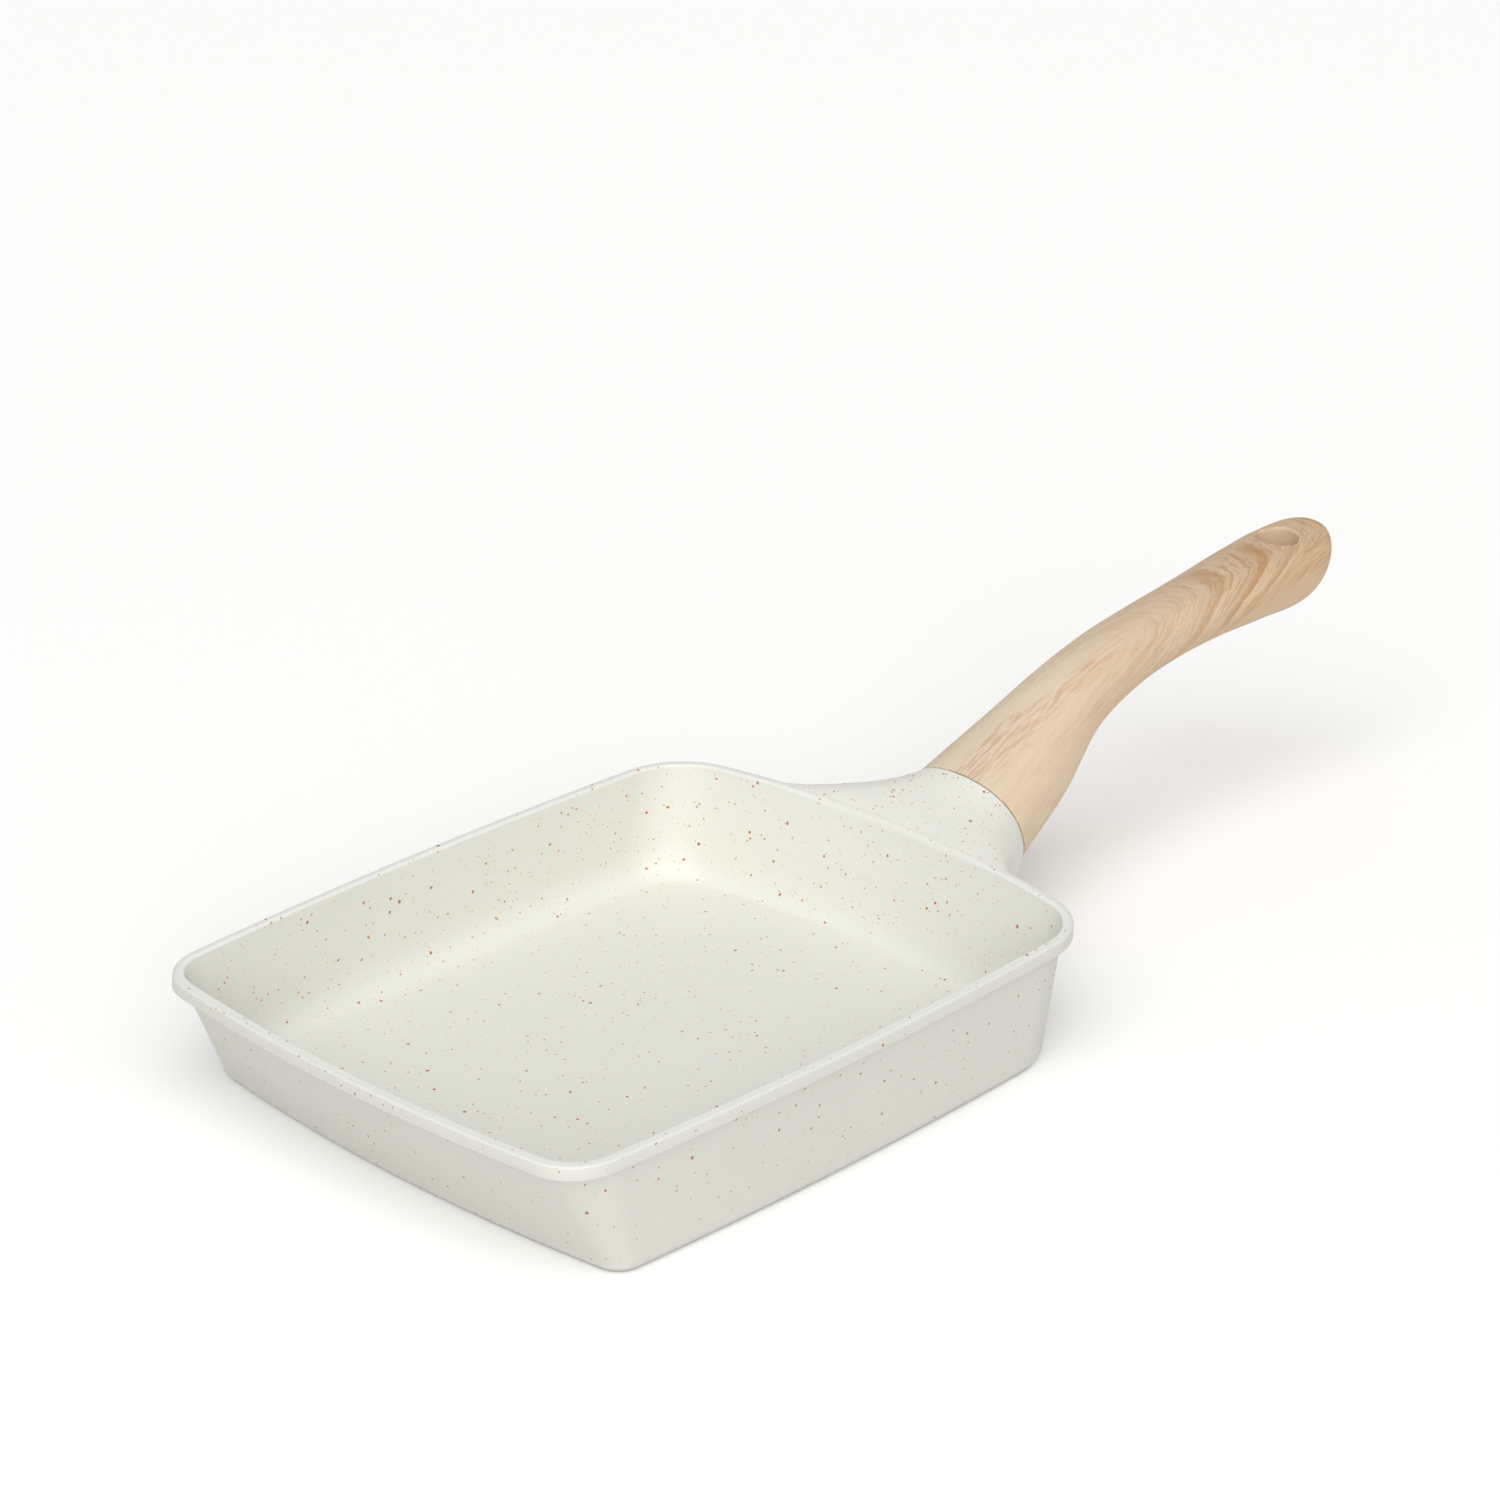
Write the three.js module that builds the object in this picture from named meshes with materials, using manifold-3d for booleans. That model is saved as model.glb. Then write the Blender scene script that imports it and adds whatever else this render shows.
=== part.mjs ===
// Rectangular frying pan: a cast and coated body with a flared handle collar, a perforated steel
// plate pressed into its underside, and a moulded handle held on the collar's tongue by one screw.
// Millimetres. +X runs from the pan towards the handle, +Z is up, z = 0 is the surface it stands on.
import * as THREE from 'three';
import { mergeVertices } from 'three/addons/utils/BufferGeometryUtils.js';
import Module from 'manifold-3d';

const wasm = await Module();
wasm.setup();

// Pan body: the rim
const RIM_LENGTH = 188.8;
const RIM_WIDTH = 150;
const RIM_HEIGHT = 33;
const RIM_LAND = 2.7; // width of the rim's flat top
const RIM_BAND = 3.6; // height of the rim's upright outer face
const RIM_EASE = 0.5; // small bevel on the rim's top edges
const LIP_DROP = 2.4; // height of the slanted underside between the rim and the wall
const FRONT_LIP = 4.0; // how far the rim stands out from each wall
const SIDE_LIP = 1.5;
const END_LIP = 3.6;
const RIM_FRONT_CORNER = 14.5;
const RIM_END_CORNER = 20.5;

// Pan body: the gentle outward bow of each side of the outline, as arc radii
const FRONT_BOW = 500;
const SIDE_BOW = 1178;
const END_BOW = 256;

// Pan body: walls and floor
const FRONT_DRAFT = 25; // degrees from upright
const SIDE_DRAFT = 2.7;
const END_DRAFT = 9.8;
const WALL = 2.5;
const FLOOR_TOP = 4.2;
const COVE_HEIGHT = 9; // the rounded step from the floor to the inner wall
const COVE_REACH = 7.2;
const BASE_FILLET = 2.6;
const BASE_FRONT_CORNER = 6;
const BASE_END_CORNER = 22;
const FLOOR_FRONT_CORNER = 12;
const FLOOR_END_CORNER = 17;

// Collar and the joint where the handle starts
const COLLAR_REACH = 25.6; // from the rim's end to the centre of the joint
const COLLAR_HALF_WIDTH = 41;
const COLLAR_BOTTOM = 9;
const COLLAR_FLARE = 1.5; // how sharply the collar widens towards the rim
const COLLAR_SQUARENESS = 5; // exponent of the collar's upper curve along the rim
const COLLAR_UNDER_SQUARENESS = 4; // and of its underside
const JOINT_HEIGHT = 26.5;
const JOINT_HALF_WIDTH = 18.2;
const JOINT_HALF_HEIGHT = 14.3;
const JOINT_TILT = 20;
const JOINT_GAP = 0.3;

// Tongue of the casting, and the screw that holds the handle on it
const TONGUE_WIDTH = 17;
const TONGUE_HEIGHT = 11;
const TONGUE_CORNER = 3;
const TONGUE_LENGTH = 28;
const TONGUE_TILT = 27;
const TONGUE_CLEARANCE = 0.35;
const SCREW_STATION = 15; // from the joint to the screw, along the tongue
const SCREW_RADIUS = 2.5;
const SCREW_CLEARANCE = 0.35;
const HEAD_RADIUS = 4.6;
const HEAD_HEIGHT = 2.6;
const HEAD_EASE = 0.8;
const RECESS_LENGTH = 4.8;
const RECESS_WIDTH = 1.1;
const RECESS_DEPTH = 1.6;
const WASHER_RADIUS = 4.9;
const WASHER_THICKNESS = 0.9;
const SEAT_WALL = 2.4; // handle wall between the tongue and the washer
const SEAT_GAP = 0.3;
const COUNTERBORE_RADIUS = 5.4;
const TONGUE_BLIND = 1.2; // metal left above the screw's hole

// Handle: stations from the joint, as forward, up, half width and half height
const HANDLE_STATIONS = [
  [0, 0, JOINT_HALF_WIDTH, JOINT_HALF_HEIGHT],
  [18, 9.2, 15.8, 12.3],
  [36, 20.2, 11.8, 9.7],
  [54, 26.5, 10.6, 8.5],
  [72, 29.6, 10.4, 8.0],
  [90, 31.2, 11.3, 8.0],
  [108, 32.2, 12.8, 8.8],
  [126, 33.7, 13.2, 9.8],
  [141.4, 41.5, 12.1, 6.8],
];
const HANDLE_SQUARENESS = 2.25; // exponent of the rounded cross-section
const TILT_BLEND = 30; // length over which the sections turn from the joint's tilt to the curve's
const TIP_PLAN_LENGTH = 20.5; // length over which the tip rounds off, seen from above
const TIP_PLAN_SQUARENESS = 2.3; // and the exponent of that curve
const TIP_EDGE_LENGTH = 27.6; // the same, seen from the side
const TIP_EDGE_SQUARENESS = 2.2;
const HOLE_LENGTH = 11; // oval hanging hole, upright
const HOLE_WIDTH = 12.7;
const HOLE_TIP_WALL = 11.6; // handle left between the hole and the tip

// Base plate
const PLATE_FRONT = -62;
const PLATE_END = 71;
const PLATE_WIDTH = 108;
const PLATE_CORNER = 14;
const PLATE_THICKNESS = 1.2;
const PLATE_GAP = 0.3;
const PLATE_HOLE_RADIUS = 2.4;
const PLATE_HOLE_PITCH = 20;
const PLATE_HOLE_MARGIN = 8;

// Facets
const CORNER_STEPS = 9;
const BOW_STEPS = 4;
const SECTION_STEPS = 36;
const COLLAR_STEPS = 10;
const HANDLE_STEPS = 20;
const TIP_STEPS = 10;
const COVE_STEPS = 5;
const FILLET_STEPS = 3;
const ROUND_STEPS = 24;
const TONGUE_STEPS = 5;
const PLATE_STEPS = 6;
const WELD = 1e-4; // points closer than this are one point

const radians = THREE.MathUtils.degToRad;
const lerp = THREE.MathUtils.lerp;
const rimEnd = RIM_LENGTH / 2;
const wallTop = RIM_HEIGHT - RIM_BAND - LIP_DROP;
const coveTop = FLOOR_TOP + COVE_HEIGHT;
const jointCentre = new THREE.Vector3(rimEnd + COLLAR_REACH, 0, JOINT_HEIGHT);

// Closed solids and cuts

function toSolid(geometry) {
  const bare = geometry.index ? geometry.toNonIndexed() : geometry.clone();
  bare.deleteAttribute('normal');
  bare.deleteAttribute('uv');
  const merged = mergeVertices(bare, WELD);
  return new wasm.Manifold(new wasm.Mesh({
    numProp: 3,
    vertProperties: new Float32Array(merged.attributes.position.array),
    triVerts: new Uint32Array(merged.index.array),
  }));
}

function toGeometry(solid) {
  const mesh = solid.getMesh();
  const geometry = new THREE.BufferGeometry();
  geometry.setAttribute('position', new THREE.BufferAttribute(mesh.vertProperties, 3));
  geometry.setIndex(new THREE.BufferAttribute(mesh.triVerts, 1));
  return geometry;
}

// Skin over a row of rings with equal point counts, closed by a fan at each end
function loft(rings) {
  const count = rings[0].length;
  const points = rings.flat();
  const indices = [];
  for (let i = 0; i + 1 < rings.length; i += 1) {
    for (let j = 0; j < count; j += 1) {
      const a = i * count + j;
      const b = i * count + (j + 1) % count;
      indices.push(a, b, b + count, a, b + count, a + count);
    }
  }
  const last = (rings.length - 1) * count;
  const first = points.length;
  points.push(middle(rings[0]), middle(rings[rings.length - 1]));
  for (let j = 0; j < count; j += 1) {
    const k = (j + 1) % count;
    indices.push(first, k, j, first + 1, last + j, last + k);
  }
  const geometry = new THREE.BufferGeometry().setFromPoints(points);
  geometry.setIndex(indices);
  return geometry;
}

function middle(ring) {
  const sum = ring.reduce((total, point) => total.add(point), new THREE.Vector3());
  return sum.divideScalar(ring.length);
}

// Outlines of the pan

// One quarter of a bowed rectangle: end arc, corner arc and side arc, tangent to each other.
// The corner's centre is where circles about the two bow centres, less its radius, meet.
function quarterOutline(halfLength, halfWidth, endBow, sideBow, corner) {
  const endCentre = new THREE.Vector2(halfLength - endBow, 0);
  const sideCentre = new THREE.Vector2(0, halfWidth - sideBow);
  const between = sideCentre.clone().sub(endCentre);
  const distance = between.length();
  const along = between.divideScalar(distance);
  const reachEnd = endBow - corner;
  const reachSide = sideBow - corner;
  const foot = (reachEnd ** 2 - reachSide ** 2 + distance ** 2) / (2 * distance);
  const rise = Math.sqrt(reachEnd ** 2 - foot ** 2);
  const cornerCentre = endCentre.clone().addScaledVector(along, foot);
  cornerCentre.add(new THREE.Vector2(-along.y, along.x).multiplyScalar(rise));
  const endAngle = cornerCentre.clone().sub(endCentre).angle();
  const sideAngle = cornerCentre.clone().sub(sideCentre).angle();
  return [
    ...arcPoints(endCentre, endBow, 0, endAngle, BOW_STEPS),
    ...arcPoints(cornerCentre, corner, endAngle, sideAngle, CORNER_STEPS),
    ...arcPoints(sideCentre, sideBow, sideAngle, Math.PI / 2, BOW_STEPS),
    new THREE.Vector2(0, halfWidth),
  ];
}

// Points of an arc, without its last one
function arcPoints(centre, radius, from, to, steps) {
  return Array.from({ length: steps }, (unused, i) => {
    const angle = lerp(from, to, i / steps);
    return new THREE.Vector2(Math.cos(angle), Math.sin(angle)).multiplyScalar(radius).add(centre);
  });
}

// Level ring of the pan at height z, set in from the rim's bounding rectangle on each side
function panRing(z, inset, frontCorner, endCorner) {
  const low = -rimEnd + inset.front;
  const high = rimEnd - inset.end;
  const half = (high - low) / 2;
  const centre = (high + low) / 2;
  const halfWidth = RIM_WIDTH / 2 - inset.side;
  const end = quarterOutline(half, halfWidth, END_BOW, SIDE_BOW, endCorner);
  const front = quarterOutline(half, halfWidth, FRONT_BOW, SIDE_BOW, frontCorner);
  const upper = [...end, ...front.slice(0, -1).reverse().map((p) => new THREE.Vector2(-p.x, p.y))];
  const lower = upper.slice(1, -1).reverse().map((p) => new THREE.Vector2(p.x, -p.y));
  return [...upper, ...lower].map((p) => new THREE.Vector3(p.x + centre, p.y, z));
}

function evenInset(value) {
  return { front: value, side: value, end: value };
}

function addInset(inset, extra) {
  return { front: inset.front + extra, side: inset.side + extra, end: inset.end + extra };
}

function mixInset(a, b, t) {
  return {
    front: lerp(a.front, b.front, t),
    side: lerp(a.side, b.side, t),
    end: lerp(a.end, b.end, t),
  };
}

// Outer wall below the rim's lip: each wall leans by its own draft
function outerInset(z) {
  const drop = wallTop - z;
  return {
    front: FRONT_LIP + drop * Math.tan(radians(FRONT_DRAFT)),
    side: SIDE_LIP + drop * Math.tan(radians(SIDE_DRAFT)),
    end: END_LIP + drop * Math.tan(radians(END_DRAFT)),
  };
}

function outerRing(z, inset) {
  const t = z / RIM_HEIGHT;
  const frontCorner = lerp(BASE_FRONT_CORNER, RIM_FRONT_CORNER, t);
  return panRing(z, inset, frontCorner, lerp(BASE_END_CORNER, RIM_END_CORNER, t));
}

function innerRing(z, inset) {
  const t = (z - FLOOR_TOP) / (RIM_HEIGHT - FLOOR_TOP);
  const frontCorner = lerp(FLOOR_FRONT_CORNER, RIM_FRONT_CORNER - RIM_LAND, t);
  return panRing(z, inset, frontCorner, lerp(FLOOR_END_CORNER, RIM_END_CORNER - RIM_LAND, t));
}

function panOutside() {
  const rings = [];
  const foot = outerInset(BASE_FILLET);
  for (let i = 0; i <= FILLET_STEPS; i += 1) {
    const angle = (1 - i / FILLET_STEPS) * Math.PI / 2;
    const z = BASE_FILLET * (1 - Math.sin(angle));
    rings.push(outerRing(z, addInset(foot, BASE_FILLET * (1 - Math.cos(angle)))));
  }
  rings.push(outerRing(wallTop, outerInset(wallTop)));
  rings.push(outerRing(RIM_HEIGHT - RIM_BAND, evenInset(0)));
  rings.push(outerRing(RIM_HEIGHT - RIM_EASE, evenInset(0)));
  rings.push(outerRing(RIM_HEIGHT, evenInset(RIM_EASE)));
  return toSolid(loft(rings));
}

// The space inside the pan, carried on above the rim so that it cuts cleanly
function panInside() {
  const coveInset = addInset(outerInset(coveTop), WALL);
  const rings = [];
  for (let i = 0; i <= COVE_STEPS; i += 1) {
    const angle = i / COVE_STEPS * Math.PI / 2;
    const z = FLOOR_TOP + COVE_HEIGHT * (1 - Math.cos(angle));
    rings.push(innerRing(z, addInset(coveInset, COVE_REACH * (1 - Math.sin(angle)))));
  }
  const land = evenInset(RIM_LAND);
  const easeStart = (RIM_HEIGHT - RIM_EASE - coveTop) / (RIM_HEIGHT - coveTop);
  rings.push(innerRing(RIM_HEIGHT - RIM_EASE, mixInset(coveInset, land, easeStart)));
  rings.push(innerRing(RIM_HEIGHT, evenInset(RIM_LAND - RIM_EASE)));
  rings.push(innerRing(RIM_HEIGHT + RIM_BAND, evenInset(RIM_LAND - RIM_EASE)));
  return toSolid(loft(rings));
}

// Collar and tongue

// Rounded cross-section in a plane that leans back by tilt, seen along the handle.
// Its upper and lower halves each have a height and a squareness, the exponent of their curve.
function section(centre, halfWidth, upper, lower, tilt) {
  return Array.from({ length: SECTION_STEPS }, (unused, i) => {
    const angle = i / SECTION_STEPS * 2 * Math.PI;
    const half = i <= SECTION_STEPS / 2 ? upper : lower;
    const side = roundedPower(Math.cos(angle), half.squareness) * halfWidth;
    const up = roundedPower(Math.sin(angle), half.squareness) * half.height;
    const x = centre.x - up * Math.sin(tilt);
    return new THREE.Vector3(x, side, centre.z + up * Math.cos(tilt));
  });
}

function roundedPower(value, squareness) {
  return Math.sign(value) * Math.abs(value) ** (2 / squareness);
}

// The collar flares from the joint down to the end wall: wide and thin along the rim, deep in the
// middle, where it hangs below the rim as a half oval
function collar() {
  const sag = COLLAR_HALF_WIDTH ** 2 / (2 * END_BOW);
  const mouth = rimEnd - sag;
  const root = mouth - outerInset(COLLAR_BOTTOM).end - WALL / 2;
  const rootHeight = RIM_HEIGHT - RIM_BAND;
  const collarRing = (x, t) => {
    const centre = new THREE.Vector3(x, 0, lerp(rootHeight, JOINT_HEIGHT, t));
    const halfWidth = lerp(JOINT_HALF_WIDTH, COLLAR_HALF_WIDTH, (1 - t) ** COLLAR_FLARE);
    const rise = THREE.MathUtils.smoothstep(t, 0, 1);
    const upper = {
      height: lerp(RIM_BAND, JOINT_HALF_HEIGHT, (t + rise) / 2),
      squareness: lerp(COLLAR_SQUARENESS, HANDLE_SQUARENESS, Math.sqrt(t)),
    };
    const lower = {
      height: lerp(rootHeight - COLLAR_BOTTOM, JOINT_HALF_HEIGHT, t),
      squareness: lerp(COLLAR_UNDER_SQUARENESS, HANDLE_SQUARENESS, t),
    };
    return section(centre, halfWidth, upper, lower, radians(JOINT_TILT) * t);
  };
  const rings = [collarRing(root, 0)];
  for (let i = 0; i <= COLLAR_STEPS; i += 1) {
    const t = i / COLLAR_STEPS;
    rings.push(collarRing(lerp(mouth, jointCentre.x, t), t));
  }
  return toSolid(loft(rings));
}

// Frame of the tongue: local x along it, local z up through it
const tongueFrame = new THREE.Matrix4().makeRotationY(-radians(TONGUE_TILT)).setPosition(jointCentre);

function roundedRectangle(width, height, corner) {
  const x = width / 2;
  const y = height / 2;
  const shape = new THREE.Shape();
  shape.absarc(x - corner, y - corner, corner, 0, Math.PI / 2);
  shape.absarc(corner - x, y - corner, corner, Math.PI / 2, Math.PI);
  shape.absarc(corner - x, corner - y, corner, Math.PI, 1.5 * Math.PI);
  shape.absarc(x - corner, corner - y, corner, 1.5 * Math.PI, 2 * Math.PI);
  return shape;
}

// Bar along the tongue's axis, from one distance to another, grown all round by a clearance
function tongueBar(from, to, clearance) {
  const width = TONGUE_WIDTH + 2 * clearance;
  const height = TONGUE_HEIGHT + 2 * clearance;
  const shape = roundedRectangle(width, height, TONGUE_CORNER + clearance);
  const bar = new THREE.ExtrudeGeometry(shape, {
    depth: to - from, bevelEnabled: false, curveSegments: TONGUE_STEPS,
  });
  bar.rotateX(Math.PI / 2);
  bar.rotateZ(Math.PI / 2);
  bar.translate(from, 0, 0);
  return toSolid(bar.applyMatrix4(tongueFrame));
}

// Upright round bar at the screw's station, between two heights above the tongue's axis
function screwBar(radius, from, to) {
  const bar = new THREE.CylinderGeometry(radius, radius, to - from, ROUND_STEPS);
  bar.rotateX(Math.PI / 2);
  bar.translate(SCREW_STATION, 0, (from + to) / 2);
  return toSolid(bar.applyMatrix4(tongueFrame));
}

const seatHeight = -TONGUE_HEIGHT / 2 - TONGUE_CLEARANCE - SEAT_WALL;
const washerTop = seatHeight - SEAT_GAP;
const headTop = washerTop - WASHER_THICKNESS - SEAT_GAP;
const holeTop = TONGUE_HEIGHT / 2 - TONGUE_BLIND;

function plateShape(gap) {
  const width = PLATE_END - PLATE_FRONT + 2 * gap;
  return roundedRectangle(width, PLATE_WIDTH + 2 * gap, PLATE_CORNER + gap);
}

const plateCentre = (PLATE_FRONT + PLATE_END) / 2;

function panBody() {
  const recessDepth = PLATE_THICKNESS + PLATE_GAP;
  const recess = new THREE.ExtrudeGeometry(plateShape(PLATE_GAP), {
    depth: 2 * recessDepth, bevelEnabled: false, curveSegments: PLATE_STEPS,
  });
  recess.translate(plateCentre, 0, -recessDepth);
  const casting = panOutside().add(collar()).subtract(panInside());
  const withTongue = casting.add(tongueBar(-TONGUE_HEIGHT, TONGUE_LENGTH, 0));
  const tapped = screwBar(SCREW_RADIUS + SCREW_CLEARANCE, -TONGUE_HEIGHT, holeTop);
  return toGeometry(withTongue.subtract(toSolid(recess)).subtract(tapped));
}

// Handle

const stationPoints = HANDLE_STATIONS.map(([forward, up]) => {
  return new THREE.Vector3(jointCentre.x + forward, 0, jointCentre.z + up);
});
const stationSizes = HANDLE_STATIONS.map(([, , width, height]) => new THREE.Vector3(width, height, 0));
const handleCurve = new THREE.CatmullRomCurve3(stationPoints, false, 'catmullrom', 0.5);
const sizeCurve = new THREE.CatmullRomCurve3(stationSizes, false, 'catmullrom', 0.5);
const handleLength = handleCurve.getLength();

// Part of the full section left at a share of the handle's length, where the tip rounds off
function tipScale(share, length, squareness) {
  const along = Math.max(0, 1 - (1 - share) * handleLength / length);
  return (1 - along ** squareness) ** (1 / squareness);
}

function handleRing(share) {
  const t = handleCurve.getUtoTmapping(share);
  const centre = handleCurve.getPoint(t);
  const size = sizeCurve.getPoint(t);
  const tangent = handleCurve.getTangent(t);
  const blend = THREE.MathUtils.smoothstep(centre.x - jointCentre.x, 0, TILT_BLEND);
  const tilt = lerp(radians(JOINT_TILT), Math.atan2(tangent.z, tangent.x), blend);
  const halfWidth = size.x * tipScale(share, TIP_PLAN_LENGTH, TIP_PLAN_SQUARENESS);
  const height = size.y * tipScale(share, TIP_EDGE_LENGTH, TIP_EDGE_SQUARENESS);
  const half = { height, squareness: HANDLE_SQUARENESS };
  return section(centre, halfWidth, half, half, tilt);
}

function handleSkin() {
  const tipStart = 1 - Math.max(TIP_PLAN_LENGTH, TIP_EDGE_LENGTH) / handleLength;
  const rings = [];
  for (let i = 0; i <= HANDLE_STEPS; i += 1) {
    rings.push(handleRing(tipStart * i / HANDLE_STEPS));
  }
  for (let i = 1; i < TIP_STEPS; i += 1) {
    const angle = i / TIP_STEPS * Math.PI / 2;
    rings.push(handleRing(lerp(tipStart, 1, Math.sin(angle))));
  }
  const gap = new THREE.Vector3(Math.cos(radians(JOINT_TILT)), 0, Math.sin(radians(JOINT_TILT)));
  rings[0].forEach((point) => point.addScaledVector(gap, JOINT_GAP));
  return toSolid(loft(rings));
}

// Oval hanging hole, upright through the handle behind its tip
function hangingHole() {
  const tip = stationPoints[stationPoints.length - 1];
  const centreX = tip.x - HOLE_TIP_WALL - HOLE_LENGTH / 2;
  const depth = 4 * JOINT_HALF_HEIGHT;
  const shape = new THREE.Shape().absellipse(0, 0, HOLE_LENGTH / 2, HOLE_WIDTH / 2, 0, 2 * Math.PI);
  const curveSegments = ROUND_STEPS / 2;
  const oval = new THREE.ExtrudeGeometry(shape, { depth, bevelEnabled: false, curveSegments });
  return toSolid(oval.translate(centreX, 0, tip.z - depth / 2));
}

function handleBody() {
  const socket = tongueBar(-TONGUE_HEIGHT, TONGUE_LENGTH + JOINT_GAP, TONGUE_CLEARANCE);
  const clearanceHole = screwBar(SCREW_RADIUS + SCREW_CLEARANCE, -2 * TONGUE_HEIGHT, 0);
  const counterbore = screwBar(COUNTERBORE_RADIUS, -3 * TONGUE_HEIGHT, seatHeight);
  return toGeometry(
    handleSkin().subtract(socket).subtract(clearanceHole).subtract(counterbore).subtract(hangingHole()),
  );
}

// Screw and washer, made about their own axis with the head down

function screw() {
  const headBottom = headTop - HEAD_HEIGHT;
  const tip = holeTop - SEAT_GAP;
  const profile = [
    [0, headBottom],
    [HEAD_RADIUS - HEAD_EASE, headBottom],
    [HEAD_RADIUS, headBottom + HEAD_EASE],
    [HEAD_RADIUS, headTop],
    [SCREW_RADIUS, headTop],
    [SCREW_RADIUS, tip - SCREW_RADIUS / 2],
    [SCREW_RADIUS / 2, tip],
    [0, tip],
  ];
  const turned = toSolid(turn(profile));
  const slot = (length, width) => {
    const box = new THREE.BoxGeometry(length, width, 2 * RECESS_DEPTH);
    return toSolid(box.translate(0, 0, headBottom));
  };
  const cross = slot(RECESS_LENGTH, RECESS_WIDTH).add(slot(RECESS_WIDTH, RECESS_LENGTH));
  return toGeometry(turned.subtract(cross));
}

function washer() {
  const bore = SCREW_RADIUS + SCREW_CLEARANCE;
  const bottom = washerTop - WASHER_THICKNESS;
  const profile = [
    [bore, bottom],
    [WASHER_RADIUS, bottom],
    [WASHER_RADIUS, washerTop],
    [bore, washerTop],
    [bore, bottom],
  ];
  return toGeometry(toSolid(turn(profile)));
}

// Solid of revolution about +Z from a profile of radius and height
function turn(profile) {
  const points = profile.map(([radius, height]) => new THREE.Vector2(radius, height));
  return new THREE.LatheGeometry(points, ROUND_STEPS).rotateX(Math.PI / 2);
}

// Base plate with staggered rows of holes

function basePlate() {
  const shape = plateShape(0);
  const halfLength = (PLATE_END - PLATE_FRONT) / 2 - PLATE_HOLE_MARGIN - PLATE_HOLE_RADIUS;
  const halfWidth = PLATE_WIDTH / 2 - PLATE_HOLE_MARGIN - PLATE_HOLE_RADIUS;
  const rowPitch = PLATE_HOLE_PITCH / 2;
  const rows = Math.floor(halfWidth / rowPitch);
  for (let row = -rows; row <= rows; row += 1) {
    const phase = row % 2 === 0 ? 0.5 : 0;
    const columns = Math.floor(halfLength / PLATE_HOLE_PITCH + phase);
    for (let column = -columns; column <= columns - 2 * phase; column += 1) {
      const hole = new THREE.Path();
      const x = (column + phase) * PLATE_HOLE_PITCH;
      hole.absarc(x, row * rowPitch, PLATE_HOLE_RADIUS, 0, 2 * Math.PI, true);
      shape.holes.push(hole);
    }
  }
  const plate = new THREE.ExtrudeGeometry(shape, {
    depth: PLATE_THICKNESS, bevelEnabled: false, curveSegments: PLATE_STEPS,
  });
  return toGeometry(toSolid(plate.translate(plateCentre, 0, 0)));
}

// Assembly

function piece(name, geometry, color, roughness, metalness) {
  const material = new THREE.MeshStandardMaterial({ color, roughness, metalness });
  const mesh = new THREE.Mesh(geometry, material);
  mesh.name = name;
  return mesh;
}

const pan = new THREE.Group();
pan.add(
  piece('pan_body', panBody(), '#e9eae0', 0.45, 0),
  piece('base_plate', basePlate(), '#b9bbbd', 0.35, 1),
  piece('handle', handleBody(), '#dcc3a0', 0.55, 0),
);

const fixing = new THREE.Group();
fixing.rotation.y = -radians(TONGUE_TILT);
fixing.position.set(SCREW_STATION, 0, 0).applyMatrix4(tongueFrame);
fixing.add(
  piece('handle_screw', screw(), '#a9abad', 0.3, 1),
  piece('screw_washer', washer(), '#b4b6b8', 0.35, 1),
);
pan.add(fixing);

export default pan;
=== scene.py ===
"""Rectangular frying pan: a cast and coated body whose collar flares into an oval joint, a moulded
handle with a printed wood grain, and the steel plate, screw and washer underneath."""

import math

import bpy
import numpy as np
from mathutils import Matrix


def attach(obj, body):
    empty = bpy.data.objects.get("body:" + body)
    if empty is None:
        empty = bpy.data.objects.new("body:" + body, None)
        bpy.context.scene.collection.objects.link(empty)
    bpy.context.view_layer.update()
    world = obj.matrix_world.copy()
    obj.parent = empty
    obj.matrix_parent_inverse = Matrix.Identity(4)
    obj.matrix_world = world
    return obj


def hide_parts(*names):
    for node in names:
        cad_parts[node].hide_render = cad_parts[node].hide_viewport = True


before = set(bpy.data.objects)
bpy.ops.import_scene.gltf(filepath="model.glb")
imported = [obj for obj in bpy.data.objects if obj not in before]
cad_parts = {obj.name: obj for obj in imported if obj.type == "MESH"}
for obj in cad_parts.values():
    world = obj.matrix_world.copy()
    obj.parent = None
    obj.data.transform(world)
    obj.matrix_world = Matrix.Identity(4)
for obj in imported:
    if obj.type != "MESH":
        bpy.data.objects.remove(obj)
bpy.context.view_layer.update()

MM = 0.001

# Sizes in millimetres, the solids' own where they have them
RIM_LENGTH, RIM_WIDTH, RIM_HEIGHT = 188.8, 150.0, 33.0
RIM_LAND, RIM_BAND, LIP_DROP = 2.7, 3.6, 2.4
RIM_EASE, BAND_EASE, COLLAR_EASE = 0.6, 0.35, 2.2  # roundings of the rim, below its band and by the collar
LIP = np.array([4.0, 1.5, 3.6])  # front, side and handle end, as in every array of three below
DRAFT = np.tan(np.radians([25.0, 2.7, 9.8]))
FRONT_BOW, SIDE_BOW, END_BOW = 500.0, 1178.0, 256.0
RIM_CORNERS = np.array([14.5, 20.5])  # front and handle end
BASE_CORNERS = np.array([6.0, 22.0])
FLOOR_CORNERS = np.array([12.0, 17.0])
WALL, FLOOR_TOP, COVE_TOP, BASE_FILLET = 2.5, 4.2, 13.2, 2.6
FLOOR_INSET = np.array([22.0, 12.6, 14.6])
WALL_TOP = RIM_HEIGHT - RIM_BAND - LIP_DROP
PLATE_LOW, PLATE_HIGH, PLATE_HALF_WIDTH, PLATE_CORNER = -62.3, 71.3, 54.3, 14.3
PLATE_RECESS = 1.5
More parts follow.
